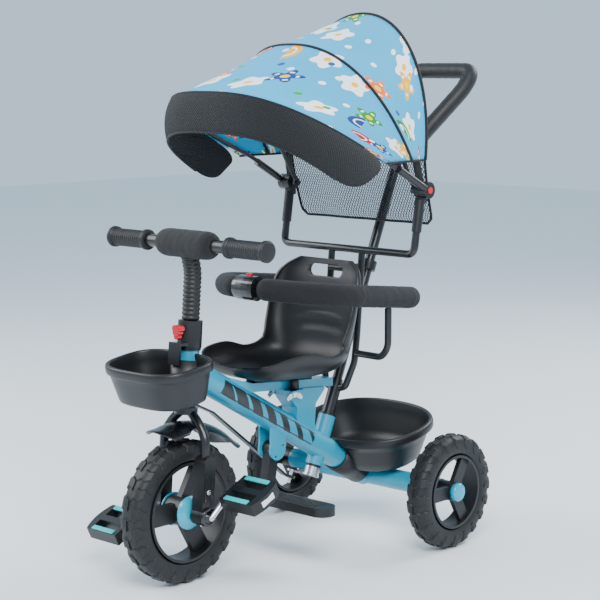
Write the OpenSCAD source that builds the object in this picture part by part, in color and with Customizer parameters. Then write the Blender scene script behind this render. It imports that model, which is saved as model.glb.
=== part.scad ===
// Children's tricycle with a steering push handle, a folding canopy, a padded guard ring,
// two baskets, a fold-away footrest and pedals on the front wheel.
// Millimetres. +Z is up, the tricycle faces -Y and the rider's left hand is at +X.
// The origin is on the ground, midway along the length, on the plane of symmetry.

/* [Wheels] */
// Front tyre diameter
front_tyre_d = 250; // [200:1:300]
// Front tyre width
front_tyre_w = 46; // [36:1:56]
// Rear tyre diameter
rear_tyre_d = 212; // [180:1:230]
// Rear tyre width
rear_tyre_w = 40; // [30:1:48]
// Thickness of tyre outside the rim
tyre_depth = 38; // [28:1:44]
// Distance between the front and rear axles
wheelbase = 482; // [430:1:560]
// Distance between the middles of the rear tyres
rear_track = 406; // [360:1:460]
// Axle and pedal pin diameter
axle_d = 10; // [8:0.5:14]
// Distance from the front axle to a pedal pin
crank_throw = 57; // [45:1:70]
// Angle of the left crank arm above the horizontal, towards the rear
crank_angle = 45; // [0:5:90]

/* [Steering] */
// Backward lean of the steering axis, in degrees
steer_lean = 4.5; // [0:0.5:12]
// Distance between the fork legs
fork_spread = 102; // [90:1:130]
// Fork leg diameter
fork_leg_d = 16; // [12:1:22]
// Height of the fork crown above the front axle, along the steering axis
crown_h = 168; // [155:1:190]
// Length of the head tube
head_len = 90; // [70:1:110]
// Handlebar tube diameter
bar_d = 22; // [18:1:26]
// Distance from the middle of the handlebar to the end of a grip
bar_reach = 189; // [160:1:230]
// Length of a handlebar grip
grip_len = 92; // [80:1:115]
// Height of the handlebar above the clamp collar
bar_rise = 130; // [110:1:170]

/* [Frame] */
// Main tube diameter
main_d = 47; // [36:1:56]
// Rear axle tube diameter
cross_d = 38; // [30:1:46]
// Tube wall thickness
tube_wall = 1.5; // [1:0.1:3]
// Height of the main tube's axis where it meets the head tube
main_front_h = 367; // [340:1:400]

/* [Push handle] */
// Backward lean of the push handle, in degrees
handle_lean = 23; // [18:0.5:30]
// Push handle tube diameter
handle_d = 19; // [16:0.5:22]
// Outer diameter of the fixed support post
post_d = 24; // [23:0.5:30]
// Length of the push handle above the frame tube
handle_len = 575; // [480:5:700]
// Length of the push grip across the tricycle
push_grip_len = 140; // [110:1:180]

/* [Seat] */
// Seat width
seat_w = 216; // [180:1:240]
// Thickness of the moulded seat wall
seat_wall = 5; // [3:0.5:8]

/* [Guard ring] */
// Distance from the middle of the tricycle to the middle of the guard ring's side
ring_r = 136; // [132:1:160]
// Diameter of the padded guard ring
pad_d = 40; // [30:1:46]

/* [Canopy] */
// Half width of the canopy frame
canopy_half = 167; // [150:1:190]
// Height of the canopy hinges above the ground
hinge_h = 659; // [620:1:720]
// Diameter of the canopy frame tube
canopy_tube_d = 14; // [10:1:18]
// Thickness of the canopy cloth
cloth_t = 3; // [2:0.5:5]

/* [Baskets] */
// Wall thickness of both baskets
basket_wall = 3; // [2:0.5:5]
// Half width of the front basket
front_basket_half = 92; // [80:1:110]
// Half width of the rear basket
rear_basket_half = 136; // [110:1:150]

/* [Hidden] */
$fn = 48;

// Colours
cyan = "deepskyblue";
black = [0.07, 0.07, 0.08];
soft_black = [0.12, 0.12, 0.13];
steel = [0.75, 0.76, 0.78];
red = [0.9, 0.05, 0.08];
grey = [0.45, 0.45, 0.47];

// Clearances
run = 0.05;             // radial clearance of a running fit
gap = 0.4;              // gap between pieces of different bodies
overrun = 400;          // longer than any piece that is cut
round_sides = 32;       // sides of a round hull part
tube_sides = 16;        // sides of a swept bent tube
bend_steps = 5;         // steps in one bend of a swept tube
sleeving = 1.03;        // how much wider a swept bend is than the tube that runs into it

// Plan of the tricycle: the front axle's place, found from the reach in front and behind
push_bar_y = 712;
push_pad_d = 34;
front_reach = front_tyre_d / 2;
rear_reach = push_bar_y + push_pad_d / 2 - 1.5;
axle_y = -(rear_reach - front_reach) / 2;
front_r = front_tyre_d / 2;
rear_r = rear_tyre_d / 2;
rear_x = rear_track / 2;
axle_r = axle_d / 2;
leg_r = fork_leg_d / 2;
leg_x = fork_spread / 2;
bar_r = bar_d / 2;
main_r = main_d / 2;
cross_r = cross_d / 2;

// Points on the plane of symmetry are [y, z], with y counted from the front axle
head_y = 20;
main_lean = atan2(main_front_h - rear_r, wheelbase - head_y);
function main_z(y) = main_front_h - (y - head_y) * tan(main_lean);

// The handle axis crosses the main tube's axis at this distance behind the front axle
handle_y = 350;
handle_z = main_z(handle_y);
socket_up = 59;
socket_down = 36;
socket_r = post_d / 2 + 4;
function handle_point(x, y, d) = [
    x,
    handle_y + y * cos(handle_lean) + d * sin(handle_lean),
    handle_z + d * cos(handle_lean) - y * sin(handle_lean)
];
function steering_point(x, y, d) = [
    x,
    y * cos(steer_lean) + d * sin(steer_lean),
    front_r + d * cos(steer_lean) - y * sin(steer_lean)
];

// Small vector helpers
function unit(v) = v / norm(v);
function mix(a, b, t) = a + (b - a) * t;

// A line through points whose inner corners are rounded, starting r away from each corner
function corner(a, b, c, r) =
    let (s = b + unit(a - b) * r, e = b + unit(c - b) * r)
    [for (k = [0:bend_steps]) let (t = k / bend_steps) mix(mix(s, b, t), mix(b, e, t), t)];
function rounded_path(p, r) = concat(
    [p[0]],
    [for (i = [1:len(p) - 2]) each corner(p[i - 1], p[i], p[i + 1], r)],
    [p[len(p) - 1]]
);

// A closed solid through a list of rings, each a list of the same even number of points.
// Each end is closed in strips that join the ring's first half to its second half.
module loft(rings) {
    m = len(rings[0]);
    last = len(rings) - 1;
    sides = [
        for (i = [0:last - 1], j = [0:m - 1])
            let (k = (j + 1) % m)
            [i * m + j, (i + 1) * m + j, (i + 1) * m + k, i * m + k]
    ];
    first_cap = [for (j = [0:m / 2 - 2]) [j, j + 1, m - 2 - j, m - 1 - j]];
    last_cap = [for (q = first_cap) [for (k = [3:-1:0]) last * m + q[k]]];
    polyhedron([for (r = rings) each r], concat(first_cap, sides, last_cap), convexity = 8);
}

// A bent tube along a path, of one diameter or one for each point: across is a direction
// that the path never follows
module sweep(path, d, across, sides = tube_sides) {
    last = len(path) - 1;
    loft([
        for (i = [0:last])
            let (
                t = unit(path[min(i + 1, last)] - path[max(i - 1, 0)]),
                n = unit(across - (across * t) * t),
                b = cross(t, n)
            )
            [
                for (j = [0:sides - 1])
                    let (a = 360 * j / sides)
                    path[i] + (is_list(d) ? d[i] : d) / 2 * (cos(a) * n + sin(a) * b)
            ]
    ]);
}

// A cylinder between two points
module rod(a, b, d) {
    v = b - a;
    translate(a)
        rotate([0, acos(v[2] / norm(v)), atan2(v[1], v[0])])
            cylinder(h = norm(v), d = d);
}

// Frames of reference: placed() moves the front axle to its place along the length,
// steering() stands on the front axle with Z up the steering axis, and
// handle_axis() stands on the main tube's axis with Z up the push handle
module placed() {
    translate([0, axle_y, 0]) children();
}
module steering() {
    translate([0, axle_y, front_r]) rotate([-steer_lean, 0, 0]) children();
}
module handle_axis() {
    translate([0, axle_y + handle_y, handle_z]) rotate([-handle_lean, 0, 0]) children();
}
module along_x(x0, x1, r) {
    translate([x0, 0, 0]) rotate([0, 90, 0]) cylinder(h = x1 - x0, r = r);
}
module both_sides() {
    children();
    mirror([1, 0, 0]) children();
}

// ---- Frame ----

head_bottom = crown_h + 24;
head_top = head_bottom + head_len;
head_r = 18;
steerer_r = 12;
bush_lip = 4;

module head_tube() color(cyan) steering() difference() {
    translate([0, 0, head_bottom + bush_lip]) cylinder(h = head_len - 2 * bush_lip, r = head_r);
    cylinder(h = overrun, r = head_r - 3);
}

module head_bushes() color(black) steering() difference() {
    union() {
        translate([0, 0, head_bottom]) cylinder(h = bush_lip, r = head_r + 2);
        translate([0, 0, head_bottom]) cylinder(h = 20, r = head_r - 3);
        translate([0, 0, head_top - bush_lip]) cylinder(h = bush_lip, r = head_r + 2);
        translate([0, 0, head_top - 20]) cylinder(h = 20, r = head_r - 3);
    }
    cylinder(h = overrun, r = steerer_r + run);
}

module main_axis() {
    translate([0, axle_y + head_y, main_front_h]) rotate([-90 - main_lean, 0, 0]) children();
}
main_len = norm([wheelbase - head_y, main_front_h - rear_r]);
module main_solid(r, z0 = 0) {
    main_axis() translate([0, 0, z0]) cylinder(h = main_len - z0, r = r);
}
module cross_solid(r) {
    translate([0, axle_y + wheelbase, rear_r]) along_x(-overrun, overrun, r);
}
module socket_solid(r) {
    handle_axis() translate([0, 0, -socket_down]) cylinder(h = socket_down + socket_up, r = r);
}

module main_tube() color(cyan) difference() {
    main_solid(main_r, 6);
    main_solid(main_r - tube_wall, -1);
    steering() cylinder(h = overrun * 2, r = head_r);
    cross_solid(cross_r);
    socket_solid(socket_r);
}

cross_half = rear_x - rear_tyre_w / 2 + 2;
module rear_axle_tube() color(cyan) placed() translate([0, wheelbase, rear_r]) difference() {
    along_x(-cross_half, cross_half, cross_r);
    along_x(-cross_half + 4, cross_half - 4, cross_r - tube_wall);
    along_x(-overrun, overrun, axle_r);
}

axle_half = rear_x + rear_tyre_w / 2 + 2;
module rear_axle() color(steel) placed() translate([0, wheelbase, rear_r]) {
    along_x(-axle_half, axle_half, axle_r);
}

module handle_socket() color(cyan) difference() {
    socket_solid(socket_r);
    handle_axis() translate([0, 0, -overrun]) cylinder(h = overrun * 2, r = post_d / 2);
}

ring_t = 4;
module socket_rings() color(black) handle_axis() {
    difference() {
        translate([0, 0, socket_up]) cylinder(h = ring_t, r = socket_r - 0.5);
        cylinder(h = overrun, r = post_d / 2);
    }
    difference() {
        translate([0, 0, -socket_down - ring_t]) cylinder(h = ring_t, r = socket_r - 2);
        translate([0, 0, -overrun]) cylinder(h = overrun, r = handle_d / 2 + run);
    }
}

// The seat beam runs from the main tube back to just in front of the support post
beam_front = [104, 344];
beam_knee = [160, 326];
beam_rear = [372, 308];
beam_t = 15;
beam_w = 30;
beam_outline = [
    beam_front, beam_knee, beam_rear, beam_rear - [0, beam_t], beam_knee - [8, beam_t],
    beam_front - [0, beam_t]
];
// An outline drawn as [y, z] and given a width across the tricycle
module side_plate(outline, x0, x1) {
    placed() translate([x0, 0, 0]) rotate([90, 0, 90])
        linear_extrude(height = x1 - x0) polygon(outline);
}
bolt_x = 26;
bolt_y = 256;
bolt_r = 3;
flange_t = 3;
flange_top = beam_knee[1] + (bolt_y - beam_knee[0]) * (beam_rear[1] - beam_knee[1])
    / (beam_rear[0] - beam_knee[0]) - beam_t;
module flange_solid(t = flange_t) {
    placed() translate([-bolt_x - 9, bolt_y - 16, flange_top - flange_t])
        cube([2 * bolt_x + 18, 32, t]);
}
module seat_beam() color(cyan) difference() {
    union() {
        side_plate(beam_outline, -beam_w / 2, beam_w / 2);
        flange_solid();
    }
    main_solid(main_r);
    handle_axis() cylinder(h = overrun, r = post_d / 2 + 1);
    both_sides() placed() translate([bolt_x, bolt_y, 0]) cylinder(h = flange_top + 1, r = bolt_r);
}

column_w = 38;
column_outline = [
    [250, 330], [345, 330], [345, 291], [321, 268], [317, main_z(317)], [270, main_z(270)],
    [271, 266], [250, 291]
];
module seat_column() color(cyan) difference() {
    side_plate(column_outline, -column_w / 2, column_w / 2);
    side_plate([[274, 180], [360, 180], [360, 285], [274, 285]], -column_w / 2 + 2, column_w / 2 - 2);
    side_plate(
        [[0, 800], [0, 0], [1, 0], beam_front - [0, beam_t], beam_knee - [8, beam_t],
        beam_rear - [0, beam_t], [800, 280], [800, 800]], -column_w, column_w
    );
    flange_solid(flange_t + 1);
    main_solid(main_r);
}

lug_y = 224;
lug_z = 197;
lug_x = 12;
lug_t = 4;
lug_pin_r = 4;
module footrest_lugs() color(cyan) difference() {
    union() both_sides() placed() {
        translate([lug_x, lug_y, lug_z]) along_x(0, lug_t, 20);
        translate([lug_x, lug_y - 18, lug_z]) cube([lug_t, 38, 62]);
        translate([0, lug_y, lug_z]) along_x(0, lug_x, lug_pin_r);
    }
    main_solid(main_r);
    placed() translate([0, lug_y + 12, lug_z + 6]) along_x(-overrun, overrun, 2.5);
    placed() translate([0, lug_y - 6, lug_z - 13]) along_x(-overrun, overrun, 2.5);
}

// ---- Rear wheels and front wheel ----

// Half section of a tyre as [radius, x]: a flat tread with rounded shoulders
module tyre(r, w) {
    inner = r - tyre_depth;
    shoulder = 9;
    rotate([0, 90, 0]) rotate_extrude($fn = 96) union() {
        translate([inner, -w / 2]) square([tyre_depth - shoulder, w]);
        translate([inner, -w / 2 + shoulder]) square([tyre_depth, w - 2 * shoulder]);
        translate([r - shoulder, w / 2 - shoulder]) circle(shoulder);
        translate([r - shoulder, -w / 2 + shoulder]) circle(shoulder);
    }
}

// A three-spoke moulded rim about X, with its spokes between disc_x and disc_x + disc_t
module rim(r, w, hub_r, hub_half, disc_x, disc_t, bore) {
    barrel = 5;
    spoke_w = hub_r * 1.3;
    difference() {
        union() {
            difference() {
                along_x(-w / 2, w / 2, r);
                along_x(-w, w, r - barrel);
            }
            along_x(-hub_half, hub_half, hub_r);
            intersection() {
                translate([disc_x, 0, 0]) along_x(0, disc_t, r);
                for (a = [90, 210, 330]) rotate([a, 0, 0])
                    translate([-w, -spoke_w / 2, 0]) cube([2 * w, spoke_w, r]);
            }
        }
        along_x(-overrun, overrun, bore);
    }
}

module rear_wheel_at(side) {
    placed() translate([side * rear_x, wheelbase, rear_r]) children();
}
rear_rim_r = rear_r - tyre_depth;
rear_hub_half = rear_tyre_w / 2 - 4;
module rear_tyre_left() color(soft_black) rear_wheel_at(1) tyre(rear_r, rear_tyre_w);
module rear_tyre_right() color(soft_black) rear_wheel_at(-1) tyre(rear_r, rear_tyre_w);
cap_r = 15;
module rear_rim_at(side) {
    rear_wheel_at(side) {
        difference() {
            mirror([side > 0 ? 0 : 1, 0, 0]) union() {
                rim(rear_rim_r, rear_tyre_w - 2, 18, rear_hub_half, 4, 9, axle_r + run);
                translate([rear_hub_half, 0, 0]) along_x(0, 10, cap_r);
            }
            along_x(-axle_half + rear_x - gap, axle_half - rear_x + gap, axle_r + run);
        }
    }
}
module rear_rim_left() color(black) rear_rim_at(1);
module rear_rim_right() color(black) rear_rim_at(-1);

module front_wheel_at() {
    placed() translate([0, 0, front_r]) children();
}
front_rim_r = front_r - tyre_depth;
front_hub_half = 20;
front_hub_r = 26;
module front_tyre() color(soft_black) front_wheel_at() tyre(front_r, front_tyre_w);
module front_rim() color(black) front_wheel_at() {
    rim(front_rim_r, front_tyre_w - 2, front_hub_r, front_hub_half, -6, 12, axle_r);
}

dome_r = 29;
dome_t = 13;
dome_ball_r = 43;
module front_hub_domes() color(cyan) front_wheel_at() difference() {
    both_sides() translate([front_hub_half, 0, 0]) rotate([0, 90, 0]) rotate_extrude($fn = 96)
        intersection() {
            square([dome_r, dome_t]);
            translate([0, dome_t - dome_ball_r]) circle(dome_ball_r, $fn = 96);
        }
    along_x(-overrun, overrun, axle_r);
}

// One bent steel rod: axle, two arms and two pedal pins
boss_out = leg_x + 17;
arm_in = boss_out + 6;
arm_x = arm_in + 6;
knuckle_r = axle_r + 0.5;
pin_end = arm_x + 72;
pin_y = crank_throw * cos(crank_angle);
pin_z = crank_throw * sin(crank_angle);
module crank() color(steel) front_wheel_at() {
    along_x(-arm_in, arm_in, axle_r);
    for (side = [-1, 1]) {
        translate([side * arm_in, 0, 0]) sphere(r = knuckle_r);
        rod([side * arm_in, 0, 0], [side * arm_x, side * pin_y, side * pin_z], axle_d);
        translate([side * arm_x, side * pin_y, side * pin_z]) {
            sphere(r = knuckle_r);
            mirror([side > 0 ? 0 : 1, 0, 0]) along_x(0, pin_end - arm_x, axle_r);
        }
    }
}

// A pedal: two long side walls, two end walls and a sleeve on the pin
pedal_len = 72;
pedal_half = 34;
pedal_t = 22;
pedal_tilt = 26;
pedal_x = arm_x + 7;
module pedal_body() {
    difference() {
        union() {
            translate([0, -pedal_half, -pedal_t / 2]) cube([pedal_len, 2 * pedal_half, pedal_t]);
            translate([pedal_len, 0, -pedal_t / 2])
                intersection() {
                    translate([-70, 0, 0]) cylinder(h = pedal_t, r = 80);
                    translate([0, -pedal_half, 0]) cube([12, 2 * pedal_half, pedal_t]);
                }
        }
        for (s = [-1, 1])
            translate([8, s * 16 - 9, -pedal_t]) cube([pedal_len - 14, 18, 2 * pedal_t]);
        translate([-1, 0, 0]) along_x(0, pin_end - pedal_x + 1 + gap, axle_r + run);
    }
}
module pedal_at(side) {
    front_wheel_at() translate([side * pedal_x, side * pin_y, side * pin_z])
        rotate([pedal_tilt, 0, 0]) mirror([side > 0 ? 0 : 1, 0, 0]) children();
}
module pedal_left() color(black) pedal_at(1) pedal_body();
module pedal_right() color(black) pedal_at(-1) pedal_body();

// ---- Fork and fender ----

crown_t = 12;
crown_r = 20;
arm_plate_t = 4;
link_x = -38;
link_y = -12;
link_pin_r = 3;
eye_r = 9;
// A flat lever from the axis out to the linkage pin
module lever_plate(r0, r1, t) {
    linear_extrude(height = t) union() {
        circle(r0);
        translate([link_x, link_y]) circle(r1);
        rotate(atan2(link_y, link_x)) translate([0, -7]) square([norm([link_x, link_y]), 14]);
    }
}
module steerer() color(black) steering() difference() {
    union() {
        translate([0, 0, crown_h]) cylinder(h = crown_t, r = crown_r);
        translate([0, 0, crown_h + 1]) cylinder(h = head_top + 35 - crown_h, r = steerer_r);
        translate([0, 0, crown_h + crown_t]) lever_plate(16, eye_r, arm_plate_t);
        translate([link_x, link_y, crown_h + crown_t + 1])
            cylinder(h = arm_plate_t + 7, r = link_pin_r);
    }
    translate([0, 0, stem_low - 4]) cylinder(h = overrun, r = stem_r + run);
}

leg_top = 106;
leg_path = rounded_path(
    [[14, 0, crown_h + 2], [30, 0, crown_h - 10], [leg_x, 0, leg_top + 24], [leg_x, 0, leg_top]], 12
);
module leg_bend(d) {
    sweep(leg_path, d, [0, 1, 0]);
}
module fork_legs() color(black) steering() difference() {
    both_sides() {
        leg_bend(fork_leg_d);
        translate([leg_x, 0, 17]) cylinder(h = leg_top - 17, r = leg_r);
    }
    translate([0, 0, crown_h]) cylinder(h = crown_t, r = crown_r);
}

boss_r = 16;
cover_half = 13;
cover_x0 = leg_x - 12;
module fork_cover() {
    difference() {
        union() {
            along_x(cover_x0, boss_out, boss_r);
            translate([cover_x0, -cover_half, 0]) cube([boss_out - 3 - cover_x0, 2 * cover_half, 90]);
            translate([0, 0, 90]) along_x(cover_x0, boss_out - 3, cover_half);
        }
        along_x(0, overrun, axle_r + run);
        translate([leg_x, 0, 17]) cylinder(h = overrun, r = leg_r);
    }
}
module fork_cover_left() color(black) steering() fork_cover();
module fork_cover_right() color(black) steering() mirror([1, 0, 0]) fork_cover();

fender_in = 149;
fender_t = 3;
fender_half = 30;
fender_start = 132;
fender_arc = 76;
module fender() color(black) steering() difference() {
    rotate([0, 90, 0]) rotate([0, 0, fender_start])
        rotate_extrude(angle = fender_arc, $fn = 96)
            translate([fender_in, -fender_half]) square([fender_t, 2 * fender_half]);
    both_sides() leg_bend(fork_leg_d + 1);
}

// ---- Handlebar, stem and front basket, all on the steering axis ----

collar_z = head_top + 9;
collar_h = 37;
collar_r = 21;
stem_r = 8;
knob_z = collar_z + 18;
knob_screw_r = 3;
module clamp_collar() color(black) steering() difference() {
    translate([0, 0, collar_z]) cylinder(h = collar_h, r = collar_r);
    cylinder(h = head_top + 36, r = steerer_r);
    cylinder(h = overrun * 2, r = stem_r + gap);
    translate([0, 0, knob_z]) rotate([90, 0, 0]) cylinder(h = overrun, r = knob_screw_r + run);
}

knob_out = 33;
module clamp_knob() color(red) steering() translate([0, 0, knob_z]) rotate([90, 0, 0]) {
    translate([0, 0, steerer_r + gap]) cylinder(h = knob_out - steerer_r - 2, r = knob_screw_r);
    translate([0, 0, collar_r + 2]) cylinder(h = knob_out - collar_r - 2, r = 8);
    for (a = [45, 135, 270]) rotate([0, 0, a])
        translate([8, 0, collar_r + 2]) cylinder(h = knob_out - collar_r - 3, r = 5.5);
}

bar_z = collar_z + collar_h + bar_rise;
bar_y = -15;
neck_z = bar_z - 46;
stem_low = head_top + 4;
bar_tube_half = bar_reach - 5;
module handlebar() color(black) steering() {
    translate([0, 0, stem_low]) cylinder(h = neck_z - 16 - stem_low, r = stem_r);
    sweep(
        rounded_path([[0, 0, neck_z - 18], [0, 0, neck_z], [0, bar_y, bar_z]], 14),
        2 * stem_r * sleeving, [1, 0, 0]
    );
    translate([0, bar_y, bar_z]) along_x(-bar_tube_half, bar_tube_half, bar_r);
}

bellows_path = rounded_path(
    [[0, 0, collar_z + collar_h + gap], [0, 0, neck_z], [0, -9, bar_z - 18]], 14
);
module stem_bellows() color(soft_black) steering() difference() {
    sweep(bellows_path, 30, [1, 0, 0]);
    sweep(rounded_path([[0, 0, collar_z], [0, 0, neck_z], [0, bar_y, bar_z]], 14), 20, [1, 0, 0]);
    translate([0, bar_y, bar_z]) along_x(-overrun, overrun, bar_r + gap);
}

bar_pad_half = 64;
bar_pad_r = 23;
module handlebar_pad() color(soft_black) steering() difference() {
    translate([0, bar_y, bar_z]) {
        along_x(-bar_pad_half + 12, bar_pad_half - 12, bar_pad_r);
        along_x(-bar_pad_half, bar_pad_half, bar_pad_r - 6);
    }
    translate([0, bar_y, bar_z]) along_x(-overrun, overrun, bar_r);
    sweep(rounded_path([[0, 0, collar_z], [0, 0, neck_z], [0, bar_y, bar_z]], 14), 32, [1, 0, 0]);
}

grip_r = 15.5;
module grip() {
    difference() {
        translate([0, bar_y, bar_z]) {
            along_x(bar_reach - grip_len, bar_reach, grip_r);
            along_x(bar_reach - 9, bar_reach, grip_r + 2);
            along_x(bar_reach - grip_len, bar_reach - grip_len + 8, grip_r + 2);
        }
        translate([0, bar_y, bar_z]) along_x(0, bar_tube_half, bar_r);
    }
}
module grip_left() color(soft_black) steering() grip();
module grip_right() color(soft_black) steering() mirror([1, 0, 0]) grip();

// A ring of points on a superellipse with half widths a and b
function oval(a, b, z, n, sides = 48) = [
    for (j = [0:sides - 1])
        let (t = 360 * j / sides, c = cos(t), s = sin(t))
        [a * sign(c) * pow(abs(c), 2 / n), b * sign(s) * pow(abs(s), 2 / n), z]
];
// A bowl's outside, and its inside as a solid that runs up past the rim
module bowl_outside(a, b, depth, taper, n) {
    loft([
        oval(a - taper, b - taper * 0.8, -depth, n), oval(a - taper * 0.6, b - taper * 0.5, 8 - depth, n),
        oval(a - 5, b - 5, -17, n), oval(a + 3, b + 3, -16, n), oval(a + 3, b + 3, -3, n),
        oval(a, b, 0, n)
    ]);
}
module bowl_inside(a, b, depth, taper, n) {
    w = basket_wall;
    loft([
        oval(a - taper - w, b - taper * 0.8 - w, w - depth, n),
        oval(a - 5 - w, b - 5 - w, -17, n), oval(a - 5 - w, b - 5 - w, 30, n)
    ]);
}

basket_y = -70;
basket_z = 261;
basket_tip = 12.5;
front_basket_b = 64;
front_basket_depth = 68;
module at_front_basket() {
    translate([0, basket_y, basket_z]) rotate([basket_tip, 0, 0]) children();
}
notch_r = head_r + 10;
module front_basket() color(black) steering() difference() {
    at_front_basket() bowl_outside(front_basket_half, front_basket_b, front_basket_depth, 16, 3);
    cylinder(h = overrun, r = notch_r);
    difference() {
        at_front_basket() bowl_inside(front_basket_half, front_basket_b, front_basket_depth, 16, 3);
        cylinder(h = overrun, r = notch_r + basket_wall);
    }
}

module basket_bracket() color(black) steering() difference() {
    union() {
        translate([0, 0, head_top + gap]) cylinder(h = collar_z - head_top - gap, r = collar_r);
        translate([-14, -notch_r - basket_wall - 4, collar_z - 5])
            cube([28, notch_r + basket_wall + 4, 5]);
        translate([-14, -notch_r - basket_wall - 4, collar_z - 38]) cube([28, 3, 38]);
    }
    cylinder(h = overrun * 2, r = steerer_r);
}

// ---- Rear basket ----

rear_basket_y = 480;
rear_basket_z = 212;
rear_basket_tip = 13;
rear_basket_b = 98;
rear_basket_depth = 78;
foot_x = 24;
module at_rear_basket() {
    placed() translate([0, rear_basket_y, rear_basket_z]) rotate([rear_basket_tip, 0, 0]) children();
}
module rear_basket() color(black) difference() {
    union() {
        at_rear_basket() bowl_outside(rear_basket_half, rear_basket_b, rear_basket_depth, 40, 2.3);
        both_sides() placed() translate([foot_x, wheelbase, rear_r]) cylinder(h = 50, r = 7);
    }
    main_solid(main_r + 1);
    cross_solid(cross_r);
    difference() {
        at_rear_basket() bowl_inside(rear_basket_half, rear_basket_b, rear_basket_depth, 40, 2.3);
        main_solid(main_r + 1 + basket_wall);
    }
}

// ---- Seat ----

// Stations along the seat, from its front lip over the pan and up the back:
// [y, z of the underside, half width, height of the sides, lean of the section]
seat_half = seat_w / 2;
seat_stations = [
    [129, 350, 0.66, 14, 0], [139, 339, 0.86, 32, 0], [165, 331, 0.97, 48, 0], [215, 328, 1, 54, 0],
    [262, 328, 1, 42, 0], [303, 331, 0.98, 43, 14], [334, 343, 0.95, 48, 38], [351, 368, 0.93, 50, 62],
    [358, 410, 0.97, 42, 80], [364, 450, 0.98, 36, 82], [370, 489, 0.96, 28, 82],
    [375, 512, 0.83, 18, 82], [378, 528, 0.6, 9, 82]
];
seat_across = 10;
function seat_point(s, phi, inset) =
    let (
        half = s[2] * seat_half - inset,
        x = half * sign(phi) * pow(abs(sin(phi)), 0.8),
        up = inset + (s[3] - inset) * pow(1 - cos(phi), 1.3)
    )
    [x, s[0] - up * sin(s[4]), s[1] + up * cos(s[4])];
function seat_ring(s) = concat(
    [for (k = [seat_across:-1:-seat_across]) seat_point(s, 90 * k / seat_across, 0)],
    [for (k = [-seat_across:seat_across]) seat_point(s, 90 * k / seat_across, seat_wall)]
);
seat_foot_half = 12;
hole_z = 507;
hole_half = 40;
hole_r = 11;
foot_outline = [
    beam_knee, mix(beam_knee, beam_rear, 0.8), [330, 341], [303, 334], [262, 331], [215, 331],
    [beam_knee[0], 335]
];
module seat_shell() color(black) difference() {
    union() {
        placed() loft([for (s = seat_stations) seat_ring(s)]);
        both_sides() placed() translate([bolt_x, bolt_y, flange_top]) cylinder(h = 29, r = 8);
        side_plate(foot_outline, -seat_foot_half, seat_foot_half);
    }
    placed() translate([0, 300, hole_z]) rotate([-90, 0, 0]) {
        both_sides() translate([hole_half - hole_r, 0, 0]) cylinder(h = overrun, r = hole_r);
        translate([hole_r - hole_half, -hole_r, 0]) cube([2 * (hole_half - hole_r), 2 * hole_r, overrun]);
    }
    both_sides() placed() translate([bolt_x, bolt_y, 0]) cylinder(h = flange_top + 20, r = bolt_r);
}

wing_outline = [[4, 0], [15, -5], [18, 0], [11, 8], [4, 7]];
module seat_wing_nuts() color(steel) both_sides() placed() translate([bolt_x, bolt_y, 0]) {
    translate([0, 0, flange_top - 14]) cylinder(h = 34, r = bolt_r);
    translate([0, 0, flange_top - flange_t - 8]) cylinder(h = 8, r = 6);
    for (a = [80, 260]) rotate([0, 0, a])
        translate([0, 0, flange_top - flange_t - 11]) rotate([90, 0, 0])
            linear_extrude(height = 3, center = true) polygon(wing_outline);
}

// ---- Push handle, its support post and the linkage to the fork ----

post_top = 130;
handle_low = -58;
module support_post() color(black) handle_axis() difference() {
    translate([0, 0, -socket_down]) cylinder(h = post_top + socket_down, r = post_d / 2);
    translate([0, 0, -overrun]) cylinder(h = overrun * 2, r = handle_d / 2 + run);
}

push_half = push_grip_len / 2;
push_bar_z = 870;
loop_d = 16;
loop_low = handle_point(0, 0, handle_len - 6);
loop_top = [0, push_bar_y, push_bar_z];
loop_foot = loop_low + [loop_d / 2 + 1, 0, 0];
loop_knee = loop_top + [push_half, -24, -32];
function other_side(p) = [-p[0], p[1], p[2]];
function loop_from(start) = rounded_path([
    start, loop_knee, loop_top + [push_half, 0, 0], loop_top - [push_half, 0, 0],
    other_side(loop_knee), other_side(start)
], 15);
loop_path = loop_from(loop_foot);
loop_side = cross([1, 0, 0], unit(loop_top - loop_low));
module push_handle() color(black) {
    handle_axis() translate([0, 0, handle_low]) cylinder(h = handle_len - handle_low, r = handle_d / 2);
    placed() translate(loop_low) along_x(-loop_d / 2 - 8, loop_d / 2 + 8, loop_d / 2 + 1);
    placed() sweep(loop_path, loop_d, loop_side);
}

grip_path = loop_from(mix(loop_foot, loop_knee, 0.25));
module push_grip() color(soft_black) placed() difference() {
    sweep(grip_path, push_pad_d - 3, loop_side);
    sweep(loop_path, loop_d, loop_side);
}

arm_collar_low = -55;
arm_pin_low = -80;
module steering_arm() color(steel) handle_axis() difference() {
    union() {
        translate([0, 0, arm_collar_low])
            cylinder(h = -socket_down - ring_t - gap - arm_collar_low, r = 14);
        translate([0, 0, handle_low]) lever_plate(15, eye_r, arm_collar_low - handle_low);
        translate([link_x, link_y, arm_pin_low])
            cylinder(h = handle_low - arm_pin_low + 1, r = link_pin_r);
    }
    translate([0, 0, handle_low]) cylinder(h = overrun, r = handle_d / 2);
}

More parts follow.
